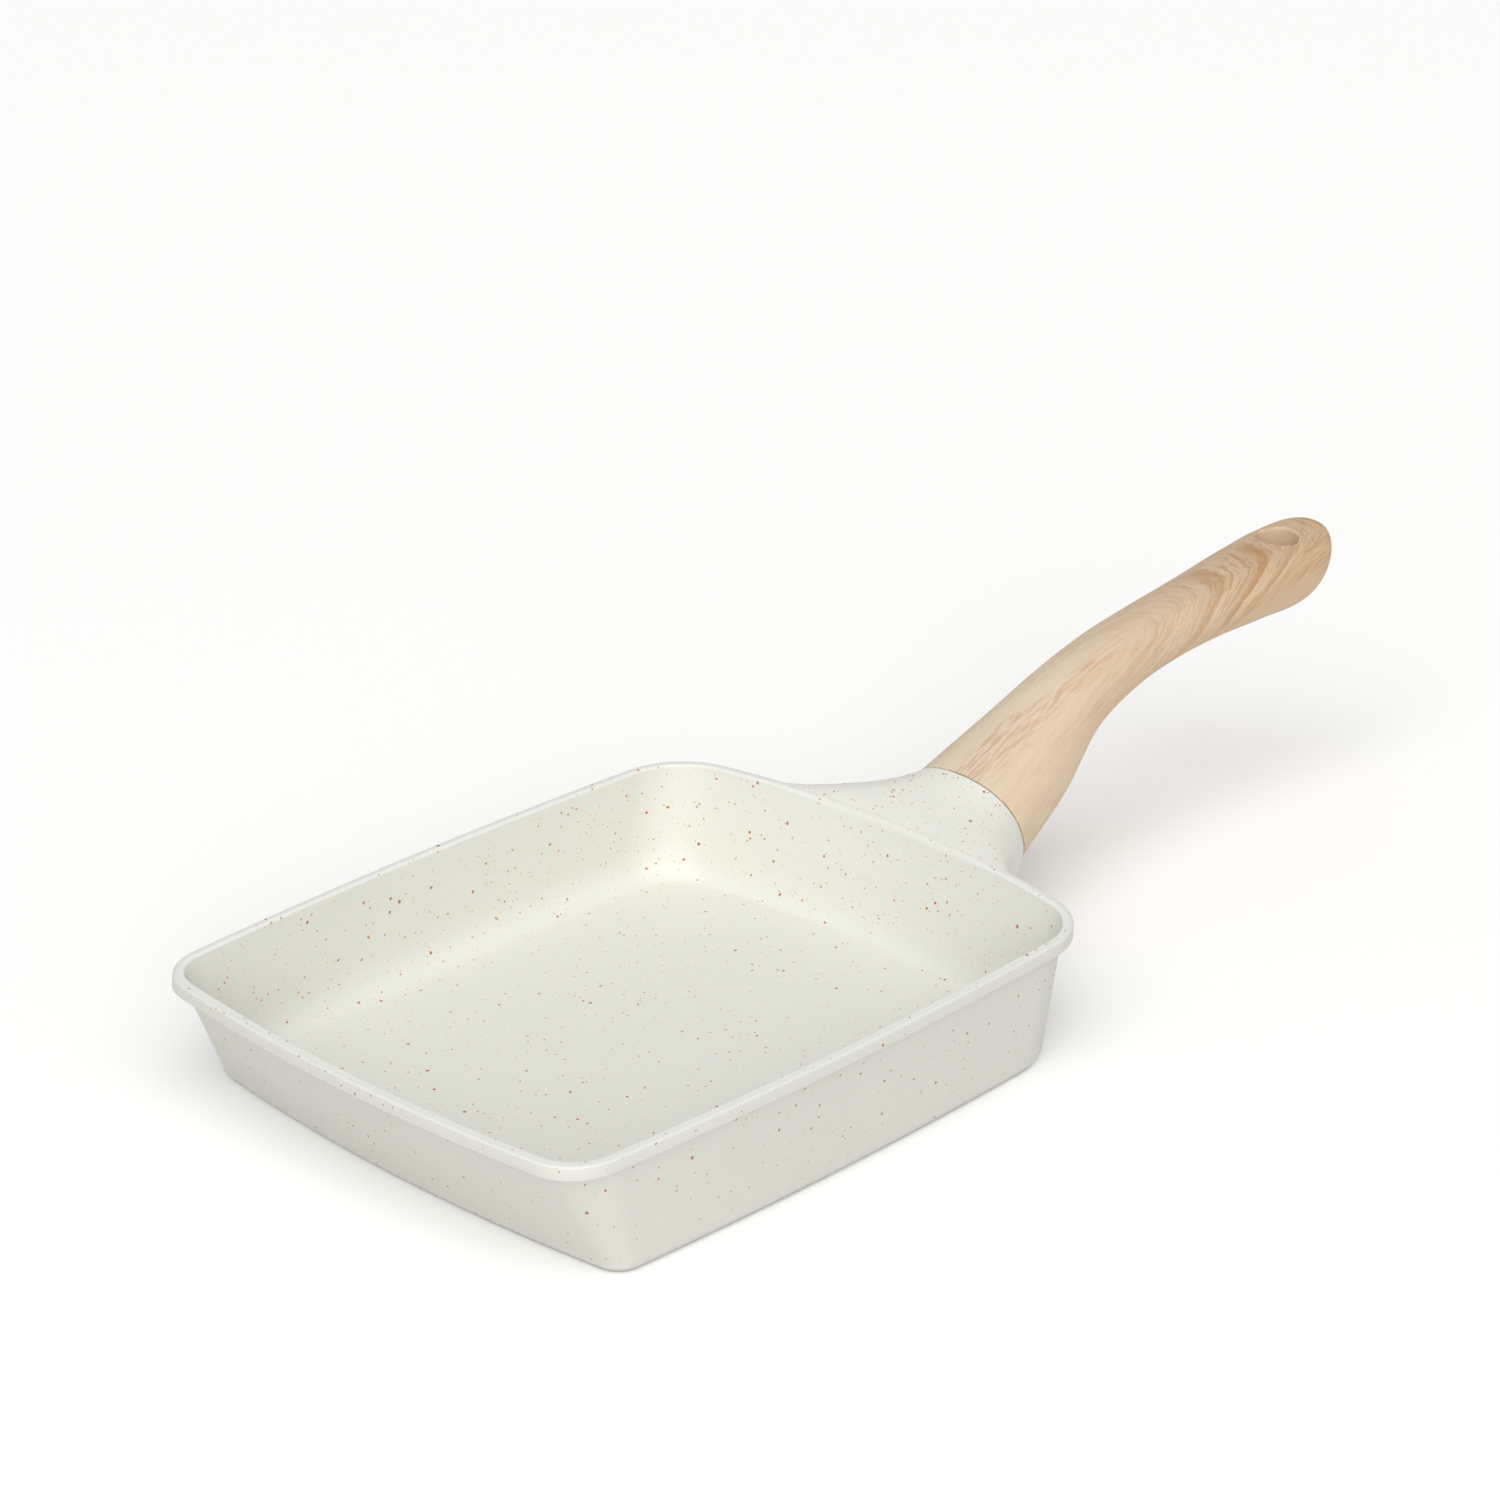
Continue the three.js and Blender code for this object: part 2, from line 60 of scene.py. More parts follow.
STRAIGHT = 1e5  # bow of a straight side
END_STEPS, CORNER_STEPS, SIDE_STEPS = 34, 24, 40  # points on a quarter of the pan's outline
ROUND_STEPS, WALL_ROWS, COVE_ROWS = 9, 16, 13  # rings on a rounded edge, up a wall and round the cove

COLLAR_HALF_WIDTH, COLLAR_BOTTOM, COLLAR_MIDDLE, COLLAR_INSET = 41.0, 9.0, 24.0, 1.3
COLLAR_POWER_ABOVE, COLLAR_POWER_BELOW = 2.6, 4.0  # how square its start is
COLLAR_SLOPE, SOFT_SLOPE = 0.04, 0.34  # rise of its top at the rim, and what the soft edge adds
COLLAR_FLARE = 0.75  # how fast its flanks spread at the joint
OFF_LIP, UP_BAND, LAND_FROM, LAND_TO = 0.35, 0.5, 0.3, 0.85  # where its start gets to, as shares of height
LAND_LIFT, SOFT_DIP = 0.03, 0.15  # its start above the land, and down along the soft edge's slope
WALL_LEAD, LAND_LEAD, BOTTOM_LEAD = 5.0, 7.0, 7.0  # how far its curves run on along the pan
SIDE_HOLD, TOP_HOLD = 9.0, 12.0  # how far they run along the handle before the joint
COLLAR_STEPS, COLLAR_ROWS, LIP_ROWS = 288, 56, 6
COVERED = 0.05  # how far its start sinks into the pan
END_FROM, END_TO = 60.0, 80.0  # lengths between which the handle end begins
SOFT_TO, TIGHT_FROM = 20.0, 40.0  # half widths across it where the inner edge stops being soft and is tight
JOINT = np.array([120.0, 0.0, 26.5])
JOINT_HALF_WIDTH, JOINT_HALF_HEIGHT = 18.2, 14.3
JOINT_TILT = math.radians(20)
JOINT_GAP = 0.3
COLLAR_LIP, JOINT_EASE, COUNTERBORE_EASE = 0.4, 0.5, 0.4  # roundings of both sides of the joint and the bore
SECTION_POWER = 2.25  # how square the joint and the handle's sections are
AXIS = np.array([math.cos(JOINT_TILT), 0.0, math.sin(JOINT_TILT)])
JOINT_AXES = np.array([AXIS, [0.0, 1.0, 0.0], [-math.sin(JOINT_TILT), 0.0, math.cos(JOINT_TILT)]])

HANDLE_STATIONS = np.array([
    [0, 0, JOINT_HALF_WIDTH, JOINT_HALF_HEIGHT],
    [18, 9.2, 15.8, 12.3],
    [36, 20.2, 11.8, 9.7],
    [54, 26.5, 10.6, 8.5],
    [72, 29.6, 10.4, 8.0],
    [90, 31.2, 11.3, 8.0],
    [108, 32.2, 12.8, 8.8],
    [126, 33.7, 13.2, 9.8],
    [141.4, 41.5, 12.1, 6.8],
])
TIP_PLAN_LENGTH, TIP_PLAN_POWER = 20.5, 2.3
TIP_EDGE_LENGTH, TIP_EDGE_POWER = 27.6, 2.2
HANDLE_TRIM = 0.02  # keeps the smooth skin within the solid's facets
HANDLE_STEP = 0.7  # grid of its skin
HANDLE_LOW = (JOINT_GAP - 3.5 * HANDLE_STEP, -29 * HANDLE_STEP, -26.0)  # along, across and up from the joint
HANDLE_HIGH = (152.0, 20.4, 20.0)
HANDLE_LEAST = 0.02  # half width and half height at the very tip
LINE_START = 8.0  # how far its line starts before the joint
CURVE_STEPS, LINE_STEPS = 1200, 1500  # points of its line, through the stations and then evenly spaced
FOOT_SLIDES, FOOT_SHARE = 8, 0.8  # how often a point's foot slides along it, and the share of each slide
LINE_PAST = 20.0  # how far past its ends a foot may slide
HOLE_LENGTH, HOLE_WIDTH, HOLE_TIP_WALL, HOLE_EASE = 11.0, 12.7, 11.6, 0.6
BARE_TO, PRINT_FROM = 0.1, 0.6  # distances from its wall where it stops being bare and is fully printed
TONGUE_TILT = math.radians(27)
TONGUE_WIDTH, TONGUE_HEIGHT, TONGUE_CORNER = 17.0, 11.0, 3.0
TONGUE_ROOT, TONGUE_LENGTH, TONGUE_CLEARANCE = 8.0, 28.0, 0.35  # before the joint, after it and all round
SCREW_STATION, SCREW_HOLE_RADIUS, COUNTERBORE_RADIUS, SEAT = 15.0, 2.85, 5.4, -8.25

# The coat: which side it is on, how white the rim's thicker coat is, and how close the specks lie
OUTSIDE, INSIDE = 0.0, 1.0
BAND_WHITE, EDGE_WHITE, LAND_WHITE, INNER_EDGE_WHITE = 0.08, 0.15, 0.6, 0.75
UNDER_COLLAR = 0.7  # how far the collar's underside goes over to the inner coat
OUTSIDE_SPECKS, FEWER_ON_FLOOR, CLOSER_ON_COLLAR = 0.55, 0.3, 0.5

# Studio, in metres and degrees
CAMERA_PLACE = (-0.674465, -0.693541, 0.515292)
CAMERA_DIP, CAMERA_TURN = 24.071, -45.814
CAMERA_LENS = 108.216  # millimetres
SKY_STRENGTH = 0.5
LAMPS = (  # name, kind, energy, spread, place, tilt and turn
    ("wide_soft_light", "SUN", 2.12, {"angle": math.radians(75)}, (0, 0, 0), (40, -48)),
    ("soft_box_by_corner", "AREA", 0.8, {"size": 0.3}, (-0.45, -0.55, 0.25), (72, -39)),
)
FLOOR_HALF, FLOOR_DROP = 6.0, 0.05 * MM


# Meshes

SHARP_FOLD = math.radians(50)


def mesh_piece(name, points, faces, material, attributes=None):
    """A piece at the origin from points in millimetres and blocks of faces, smooth except at sharp folds."""
    mesh = bpy.data.meshes.new(name)
    mesh.from_pydata((points * MM).tolist(), [], [face for block in faces for face in block.tolist()])
    mesh.polygons.foreach_set("use_smooth", np.ones(len(mesh.polygons), bool))
    mesh.set_sharp_from_angle(angle=SHARP_FOLD)
    for key, (kind, field, values) in (attributes or {}).items():
        layer = mesh.attributes.new(key, kind, "POINT")
        layer.data.foreach_set(field, np.asarray(values, np.float32).ravel())
    mesh.materials.append(material)
    mesh.update()
    piece = bpy.data.objects.new(name, mesh)
    bpy.context.scene.collection.objects.link(piece)
    return piece


def closed_skin(rings):
    """Points and blocks of faces of a skin over rings, an array of rows by points by 3, closed at both ends
    by a fan to the middle of the end ring. It faces out when rings run anticlockwise seen from the last."""
    rows, count = rings.shape[:2]
    index = np.arange(rows * count).reshape(rows, count)
    after = np.roll(index, -1, axis=1)
    quads = np.stack([index[:-1], after[:-1], after[1:], index[1:]], -1).reshape(-1, 4)
    first, last = rows * count, rows * count + 1
    start = np.stack([np.full(count, first), after[0], index[0]], -1)
    end = np.stack([np.full(count, last), index[-1], after[-1]], -1)
    points = np.vstack([rings.reshape(-1, 3), rings[0].mean(0), rings[-1].mean(0)])
    return points, [quads, start, end]


def joined(*parts):
    """Several skins as one set of points and blocks of faces."""
    points, faces, offset = [], [], 0
    for part_points, part_faces in parts:
        points.append(part_points)
        faces += [block + offset for block in part_faces]
        offset += len(part_points)
    return np.vstack(points), faces


def smooth(value, low, high):
    """0 below low, 1 above high, and the smooth step 3t^2 - 2t^3 between."""
    t = np.clip((value - low) / (high - low), 0, 1)
    return t * t * (3 - 2 * t)


def power(value, exponent):
    """Sign-keeping power 2/exponent, which turns a circle into a rounded square."""
    return np.sign(value) * np.abs(value) ** (2 / exponent)


# Bowl, collar and tongue

def arc(centre, radius, start, end, steps):
    """Points of a circular arc without its last one."""
    angle = np.linspace(start, end, steps, endpoint=False)
    return centre + radius * np.stack([np.cos(angle), np.sin(angle)], 1)


def quarter_outline(half_length, half_width, end_bow, side_bow, corner):
    """A quarter of a bowed rectangle: end arc, corner arc and side arc that touch each other. The corner's
    centre is where circles about the two bow centres, less its radius, meet."""
    end_centre = np.array([half_length - end_bow, 0.0])
    side_centre = np.array([0.0, half_width - side_bow])
    between = side_centre - end_centre
    distance = np.hypot(*between)
    along = between / distance
    foot = ((end_bow - corner) ** 2 - (side_bow - corner) ** 2 + distance**2) / (2 * distance)
    rise = math.sqrt((end_bow - corner) ** 2 - foot**2)
    corner_centre = end_centre + along * foot + rise * np.array([-along[1], along[0]])
    end_angle = math.atan2(*(corner_centre - end_centre)[::-1])
    side_angle = math.atan2(*(corner_centre - side_centre)[::-1])
    return np.vstack([
        arc(end_centre, end_bow, 0, end_angle, END_STEPS),
        arc(corner_centre, corner, end_angle, side_angle, CORNER_STEPS),
        arc(side_centre, side_bow, side_angle, math.pi / 2, SIDE_STEPS),
        [[0, half_width]],
    ])


def outline_ring(z, low, high, half_width, bows, corners):
    """Level ring between two x positions, mirrored left to right from its quarters."""
    half, centre = (high - low) / 2, (high + low) / 2
    back = quarter_outline(half, half_width, bows[1], bows[2], corners[1])
    fore = quarter_outline(half, half_width, bows[0], bows[2], corners[0])[-2::-1] * [-1, 1]
    upper = np.vstack([back, fore])
    outline = np.vstack([upper, upper[-2:0:-1] * [1, -1]])
    return np.column_stack([outline[:, 0] + centre, outline[:, 1], np.full(len(outline), z)])


PAN_BOWS = (FRONT_BOW, END_BOW, SIDE_BOW)


def pan_ring(z, inset, corners):
    """Ring of the pan at height z, set in from the rim by inset on the front, the sides and the end."""
    low, high = -RIM_LENGTH / 2 + inset[0], RIM_LENGTH / 2 - inset[2]
    return outline_ring(z, low, high, RIM_WIDTH / 2 - inset[1], PAN_BOWS, corners)


def outer_inset(z):
    """Each outer wall leans from its lip by its own draft."""
    return LIP + (WALL_TOP - z) * DRAFT


def inner_inset(z):
    """Straight line from the rim's inner edge to the wall's thickness at the cove's top, and on down."""
    share = (z - COVE_TOP) / (RIM_HEIGHT - COVE_TOP)
    return (outer_inset(COVE_TOP) + WALL) * (1 - share) + RIM_LAND * share


def outer_corners(z):
    """Corner radii outside, changing evenly from the base's to the rim's."""
    return BASE_CORNERS + (RIM_CORNERS - BASE_CORNERS) * z / RIM_HEIGHT


def inner_corners(z):
    """Corner radii inside, changing evenly from the floor's to the rim's less its land."""
    share = (z - FLOOR_TOP) / (RIM_HEIGHT - FLOOR_TOP)
    return FLOOR_CORNERS + (RIM_CORNERS - RIM_LAND - FLOOR_CORNERS) * share


def softened(y):
    """How soft the inner edge is at a place across the handle end: fully in the middle, not further out."""
    return 1 - smooth(np.abs(y), SOFT_TO, TIGHT_FROM)


def by_collar(ring):
    """How far each point of a ring is by the collar: how far along the pan times how soft across it."""
    return smooth(ring[:, 0], END_FROM, END_TO) * softened(ring[:, 1])


def drawn_in(ring, share):
    """The ring scaled about its middle."""
    return ring.mean(0) + (ring - ring.mean(0)) * share


def plate_ring(z):
    """Ring of the recess for the plate underneath: a straight-sided rectangle with rounded corners."""
    return outline_ring(z, PLATE_LOW, PLATE_HIGH, PLATE_HALF_WIDTH, (STRAIGHT,) * 3, (PLATE_CORNER,) * 2)


def inner_edge_ring(height, overhang):
    """Ring of the inner wall or its rounded top edge. The edge is tight along the rim and soft where the
    collar runs over it, and the two rings are mixed from one to the other across the handle end."""
    made = []
    for ease in (RIM_EASE, COLLAR_EASE):
        top = RIM_HEIGHT - ease
        z = height(top, ease)
        made.append(pan_ring(z, inner_inset(min(z, top)) - ease * overhang, inner_corners(z)))
    tight, soft = made
    share = by_collar(tight)[:, None]
    return tight * (1 - share) + soft * share


def shell_rings():
    """Rings of the bowl from the middle of its underside, out and up the walls, over the rim, down inside
    and to the middle of the floor, with how far each point counts as inside and how white the rim's thicker
    coat is there, which the collar has none of. The base's fillet and the rim's edges are quarter circles,
    the lip is a quarter oval, and the cove is a quadratic curve from the wall to the floor."""
    turns = np.linspace(0, math.pi / 2, ROUND_STEPS)
    rings, inside, white = [], [], []

    def add(ring, side, thick=0.0):
        rings.append(ring)
        inside.append(np.full(len(ring), side))
        white.append(thick * (1 - by_collar(ring)))

    for ring in (drawn_in(plate_ring(PLATE_RECESS), 0.5), plate_ring(PLATE_RECESS), plate_ring(0.0)):
        add(ring, OUTSIDE)
    foot = outer_inset(BASE_FILLET)
    for turn in turns:
        z = BASE_FILLET * (1 - math.cos(turn))
        add(pan_ring(z, foot + BASE_FILLET * (1 - math.sin(turn)), outer_corners(z)), OUTSIDE)
    for z in np.linspace(BASE_FILLET, WALL_TOP, WALL_ROWS)[1:]:
        add(pan_ring(z, outer_inset(z), outer_corners(z)), OUTSIDE)
    for turn in turns[1:]:
        z = WALL_TOP + LIP_DROP * math.sin(turn)
        add(pan_ring(z, BAND_EASE + (LIP - BAND_EASE) * math.cos(turn), outer_corners(z)), OUTSIDE)
    for turn in turns[2::2]:
        z = RIM_HEIGHT - RIM_BAND + BAND_EASE * (1 - math.cos(turn))
        inset = np.full(3, BAND_EASE * (1 - math.sin(turn)))
        add(pan_ring(z, inset, outer_corners(z)), OUTSIDE, BAND_WHITE)
    for turn in turns[::2]:
        z = RIM_HEIGHT - RIM_EASE * (1 - math.sin(turn))
        inset = np.full(3, RIM_EASE * (1 - math.cos(turn)))
        thick = EDGE_WHITE + (LAND_WHITE - EDGE_WHITE) * math.sin(turn)
        add(pan_ring(z, inset, RIM_CORNERS), OUTSIDE, thick)
    for turn in turns[::2]:
        ring = inner_edge_ring(lambda top, ease: top + ease * math.cos(turn), 1 - math.sin(turn))
        add(ring, INSIDE, INNER_EDGE_WHITE * math.cos(turn))
    for share in np.linspace(0, 1, WALL_ROWS)[1:]:
        add(inner_edge_ring(lambda top, ease: top + (COVE_TOP - top) * share, 0), INSIDE)
    for t in np.linspace(0, 1, COVE_ROWS)[1:]:
        z = FLOOR_TOP + (COVE_TOP - FLOOR_TOP) * (1 - t) ** 2
        wall = inner_inset(COVE_TOP) * (1 - t) ** 2 + inner_inset(FLOOR_TOP) * 2 * t * (1 - t)
        add(pan_ring(z, wall + FLOOR_INSET * t**2, inner_corners(z)), INSIDE)
    floor = rings[-1]
    for share in (0.98, 0.9, 0.7, 0.4, 0.1):
        add(drawn_in(floor, share), INSIDE)
    return np.array(rings), np.concatenate(inside), np.concatenate(white)


def end_x(y, inset):
    """x of the handle end's bowed wall, a circular arc, at a place across it, for an inset from the rim."""
    return RIM_LENGTH / 2 - inset - END_BOW + np.sqrt(END_BOW**2 - y**2)


def bowl():
    """The bowl's skin, how far each point counts as inside and how white it is."""
    rings, inside, white = shell_rings()
    return closed_skin(rings), np.append(inside, [OUTSIDE, INSIDE]), white


def collar():
    """Trumpet of curves, one for each direction round the joint. Each leaves the pan along its surface and
    reaches the joint along the handle: a cubic from W, W + a d, J - b axis to J. Above, W runs from the
    rim's outer face over its land to the land's inner edge; below, it is a half oval on the outer wall.
    Its top counts as inside and its underside goes over from the outer wall's coat; the last array says how
    much closer the specks lie towards the joint."""
    angle = np.linspace(0, 2 * math.pi, COLLAR_STEPS, endpoint=False)
    cos, sin = np.cos(angle), np.sin(angle)
    above = sin >= 0
    squareness = np.where(above, COLLAR_POWER_ABOVE, COLLAR_POWER_BELOW)
    side = COLLAR_HALF_WIDTH * power(cos, squareness)
    height = np.abs(power(sin, squareness))
    soft = softened(side)

    # Where each curve starts: off the lip, up the band and over the land, or down the outer wall
    off_lip = smooth(height, 0.0, OFF_LIP) * above
    up_band = np.minimum(1, height / UP_BAND)
    over = smooth(height, LAND_FROM, LAND_TO) * above
    lift = LAND_LIFT - SOFT_DIP * soft
    root = RIM_HEIGHT - RIM_BAND
    z = np.where(above, root + RIM_BAND * up_band + lift * over, root - (root - COLLAR_BOTTOM) * height)
    land = LIP[2] * (1 - off_lip) + over * COLLAR_INSET
    inset = np.where(above, land, LIP[2] + (WALL_TOP - z) * DRAFT[2]) + COVERED
    start = np.column_stack([end_x(side, inset), side, z])

    # The way it leaves: along the wall towards the collar's middle, or outward over the land
    rise = np.where(above, 0, COLLAR_MIDDLE - z)
    inward = np.column_stack([side**2 / END_BOW + rise * DRAFT[2], -side, rise])
    inward /= np.maximum(np.linalg.norm(inward, axis=1), 1e-6)[:, None]
    outward = np.column_stack([np.ones_like(soft), np.zeros_like(soft), COLLAR_SLOPE + SOFT_SLOPE * soft])
    lead = inward * (1 - over)[:, None] + outward * over[:, None]
    below = WALL_LEAD + (BOTTOM_LEAD - WALL_LEAD) * height
    reach = np.where(above, WALL_LEAD * (1 - over) + LAND_LEAD * over, below)

    # Where it ends, on the joint's oval, and how it comes in
    up = JOINT_HALF_HEIGHT * power(sin, SECTION_POWER)
    end = np.column_stack([
        JOINT[0] - up * math.sin(JOINT_TILT),
        JOINT_HALF_WIDTH * power(cos, SECTION_POWER),
        JOINT[2] + up * math.cos(JOINT_TILT),
    ])
    hold = SIDE_HOLD + (TOP_HOLD - SIDE_HOLD) * np.abs(sin)
    flare = np.array([0.0, COLLAR_FLARE, 0.0]) * (hold * power(cos, 2))[:, None]
    one, two = start + lead * reach[:, None], end - AXIS * hold[:, None] + flare
    t = np.linspace(0, 1, COLLAR_ROWS)[:, None, None]
    sweep = start * (1 - t) ** 3 + 3 * one * t * (1 - t) ** 2 + 3 * two * t**2 * (1 - t) + end * t**3

    # A rounded lip at the joint, for which the last rows draw back
    turns = np.linspace(0, math.pi / 2, LIP_ROWS)[1:, None, None]
    inwards = (JOINT - end) / np.linalg.norm(JOINT - end, axis=1)[:, None]
    lip = end + AXIS * COLLAR_LIP * (np.sin(turns) - 1) + inwards * COLLAR_LIP * (1 - np.cos(turns))
    sweep[-LIP_ROWS:] -= AXIS * COLLAR_LIP * np.linspace(0, 1, LIP_ROWS)[:, None, None]
    cap = JOINT + (lip[-1] - JOINT) * 0.5

    # Rows that close the skin, half way between the wall's two faces and ever nearer to the collar's middle
    core = np.array([0.0, 0.0, COLLAR_MIDDLE])
    buried = start + (core - start) * np.linspace(0.8, 0.08, 5)[:, None, None]
    face = np.interp(buried[..., 2], [COLLAR_BOTTOM, WALL_TOP, root],
                     [outer_inset(COLLAR_BOTTOM)[2], LIP[2], 0])
    share = (buried[..., 2] - COVE_TOP) / (RIM_HEIGHT - COVE_TOP)
    back = inner_inset(COVE_TOP)[2] * (1 - share) + RIM_LAND * share
    buried[..., 0] = end_x(buried[..., 1], (face + back) / 2)
    rows = [buried, sweep, lip, cap[None]]

    # The coat on it, by how far a point is on top and how far it is along
    top = smooth(sin, 0.05, 0.5)
    along = np.concatenate([np.zeros(len(buried)), t.ravel(), np.ones(len(lip) + 1)])
    along = smooth(along, 0, 0.8)[:, None]
    inside = top + (1 - top) * UNDER_COLLAR * along
    closer = 1 + CLOSER_ON_COLLAR * top * along
    return closed_skin(np.concatenate(rows)), np.append(inside, [OUTSIDE, INSIDE]), np.append(closer, [1, 1])


def rounded_rectangle(width, height, corner, steps=8):
    """Anticlockwise points of a rounded rectangle about the origin."""
    quarter = arc(np.array([width / 2 - corner, height / 2 - corner]), corner, 0, math.pi / 2, steps)
    quarter = np.vstack([quarter, [width / 2 - corner, height / 2]])
    upper = np.vstack([quarter, quarter[::-1] * [-1, 1]])
    return np.vstack([upper, -upper])


def tongue():
    """Rounded bar of the casting inside the handle, along its own tilted axis."""
    flat = rounded_rectangle(TONGUE_WIDTH, TONGUE_HEIGHT, TONGUE_CORNER)
    along = np.array([math.cos(TONGUE_TILT), 0, math.sin(TONGUE_TILT)])
    up = np.array([-math.sin(TONGUE_TILT), 0, math.cos(TONGUE_TILT)])
    ring = JOINT + flat[:, :1] * np.array([0, 1, 0]) + flat[:, 1:] * up
    stations = np.array([-TONGUE_ROOT, TONGUE_LENGTH])[:, None, None]
    return closed_skin(ring + along * stations)


# Handle

def curve_through(rows, t):
    """Uniform Catmull-Rom curve through the rows of an array, with t from 0 to 1."""
    spans = len(rows) - 1
    place = np.clip(t, 0, 1) * spans
    i = np.minimum(place.astype(int), spans - 1)
    w = (place - i)[:, None]
    held = np.vstack([2 * rows[0] - rows[1], rows, 2 * rows[-1] - rows[-2]])
    p0, p1, p2, p3 = held[i], held[i + 1], held[i + 2], held[i + 3]
    m1, m2 = (p2 - p0) / 2, (p3 - p1) / 2
    return p1 + m1 * w + (3 * (p2 - p1) - 2 * m1 - m2) * w**2 + (2 * (p1 - p2) + m1 + m2) * w**3


def handle_line():
    """The handle's centre line as a table by arc length: x, z, direction, half width and half height.
    It starts a little before the joint, so that the joint's plane can cut it. Towards the tip both half
    sizes fall away as a quarter of a rounded oval, each over a length of its own."""
    rows = curve_through(HANDLE_STATIONS, np.linspace(0, 1, CURVE_STEPS))
    back = rows[0] - (rows[1] - rows[0]) / np.hypot(*(rows[1] - rows[0])[:2]) * LINE_START
    back[2:] = rows[0, 2:]
    rows = np.vstack([back, rows])
    x, z = JOINT[0] + rows[:, 0], JOINT[2] + rows[:, 1]
    arc_length = np.concatenate([[0], np.cumsum(np.hypot(np.diff(x), np.diff(z)))])
    even = np.linspace(0, arc_length[-1], LINE_STEPS)
    x, z, width, height = (np.interp(even, arc_length, v) for v in (x, z, rows[:, 2], rows[:, 3]))
    direction = np.unwrap(np.arctan2(np.gradient(z), np.gradient(x)))
    to_tip = even[-1] - even
    plan = np.clip(1 - to_tip / TIP_PLAN_LENGTH, 0, 1)
    edge = np.clip(1 - to_tip / TIP_EDGE_LENGTH, 0, 1)
    width = width * (1 - plan**TIP_PLAN_POWER) ** (1 / TIP_PLAN_POWER)
    height = height * (1 - edge**TIP_EDGE_POWER) ** (1 / TIP_EDGE_POWER)
    return even, x, z, direction, width, height


LINE = handle_line()


def along_handle(points):
    """Distance along the handle's line, across it and up from it, and past its ends, found by sliding the
    foot of each point along the line, a few times, until the line's direction is square to it."""
    s, line_x, line_z, direction = LINE[:4]
    place = np.interp(points[..., 0], line_x, s)
    for _ in range(FOOT_SLIDES):
        turn = np.interp(place, s, direction)
        dx = points[..., 0] - np.interp(place, s, line_x)
        dz = points[..., 2] - np.interp(place, s, line_z)
        place = place + FOOT_SHARE * (dx * np.cos(turn) + dz * np.sin(turn))
        place = np.clip(place, s[0] - LINE_PAST, s[-1] + LINE_PAST)
    over = place - np.clip(place, s[0], s[-1])
    held = place - over
    turn = np.interp(held, s, direction)
    dx = points[..., 0] - np.interp(held, s, line_x)
    dz = points[..., 2] - np.interp(held, s, line_z)
    return place, points[..., 1], dz * np.cos(turn) - dx * np.sin(turn), np.abs(over)


def blunt_max(a, b, radius):
    """The larger of two fields, with the fold between them rounded: where they differ by less than radius,
    it adds a quarter of radius times the square of how close they are."""
    h = np.clip(radius - np.abs(a - b), 0, None) / radius
    return np.maximum(a, b) + h * h * radius / 4


HOLE_X = LINE[1][-1] - HOLE_TIP_WALL - HOLE_LENGTH / 2


def hole_field(points):
    """Below zero inside the upright oval hanging hole: the distance from its middle in shares of its half
    length and half width, less one."""
    share = np.hypot((points[..., 0] - HOLE_X) / (HOLE_LENGTH / 2), points[..., 1] / (HOLE_WIDTH / 2))
    return (share - 1) * HOLE_LENGTH / 2


def handle_field(points):
    """Below zero inside the handle: a rounded oval swept along the line, whose width and height shares, each
    to the section's power, add up to one, cut by the joint's plane and by the hole, the tongue's socket and
    the screw's counterbore."""
    place, side, up, past = along_handle(points)
    width = np.maximum(np.interp(place, LINE[0], LINE[4]), HANDLE_LEAST)
    height = np.maximum(np.interp(place, LINE[0], LINE[5]), HANDLE_LEAST)
    share = np.abs(side / width) ** SECTION_POWER + np.abs(up / height) ** SECTION_POWER
    share = share ** (1 / SECTION_POWER)
    body = (share - 1) * np.minimum(width, height) + past + HANDLE_TRIM
    plane = JOINT_GAP - (points - JOINT) @ AXIS
    body = blunt_max(body, plane, JOINT_EASE)
    body = blunt_max(body, -hole_field(points), HOLE_EASE)
    forward = np.array([math.cos(TONGUE_TILT), 0, math.sin(TONGUE_TILT)])
    rise = np.array([-math.sin(TONGUE_TILT), 0, math.cos(TONGUE_TILT)])
    local = points - JOINT
    u, v, w = local @ forward, local[..., 1], local @ rise
    wide = np.abs(v) - TONGUE_WIDTH / 2 - TONGUE_CLEARANCE + TONGUE_CORNER
    tall = np.abs(w) - TONGUE_HEIGHT / 2 - TONGUE_CLEARANCE + TONGUE_CORNER
    round_bar = np.hypot(np.maximum(wide, 0), np.maximum(tall, 0)) + np.minimum(np.maximum(wide, tall), 0)
    socket = np.maximum(round_bar - TONGUE_CORNER, u - TONGUE_LENGTH - JOINT_GAP)
    body = np.maximum(body, -socket)
    radius = np.hypot(u - SCREW_STATION, v)
    body = np.maximum(body, -np.maximum(radius - SCREW_HOLE_RADIUS, w))
    return blunt_max(body, -np.maximum(radius - COUNTERBORE_RADIUS, w - SEAT), COUNTERBORE_EASE)


def handle_from_joint(points):
    """The handle's field for points given along the joint's axis, across it and up from it, so that the
    planes of a grid lie flat on the joint and its edge comes out clean."""
    return handle_field(JOINT + points @ JOINT_AXES)


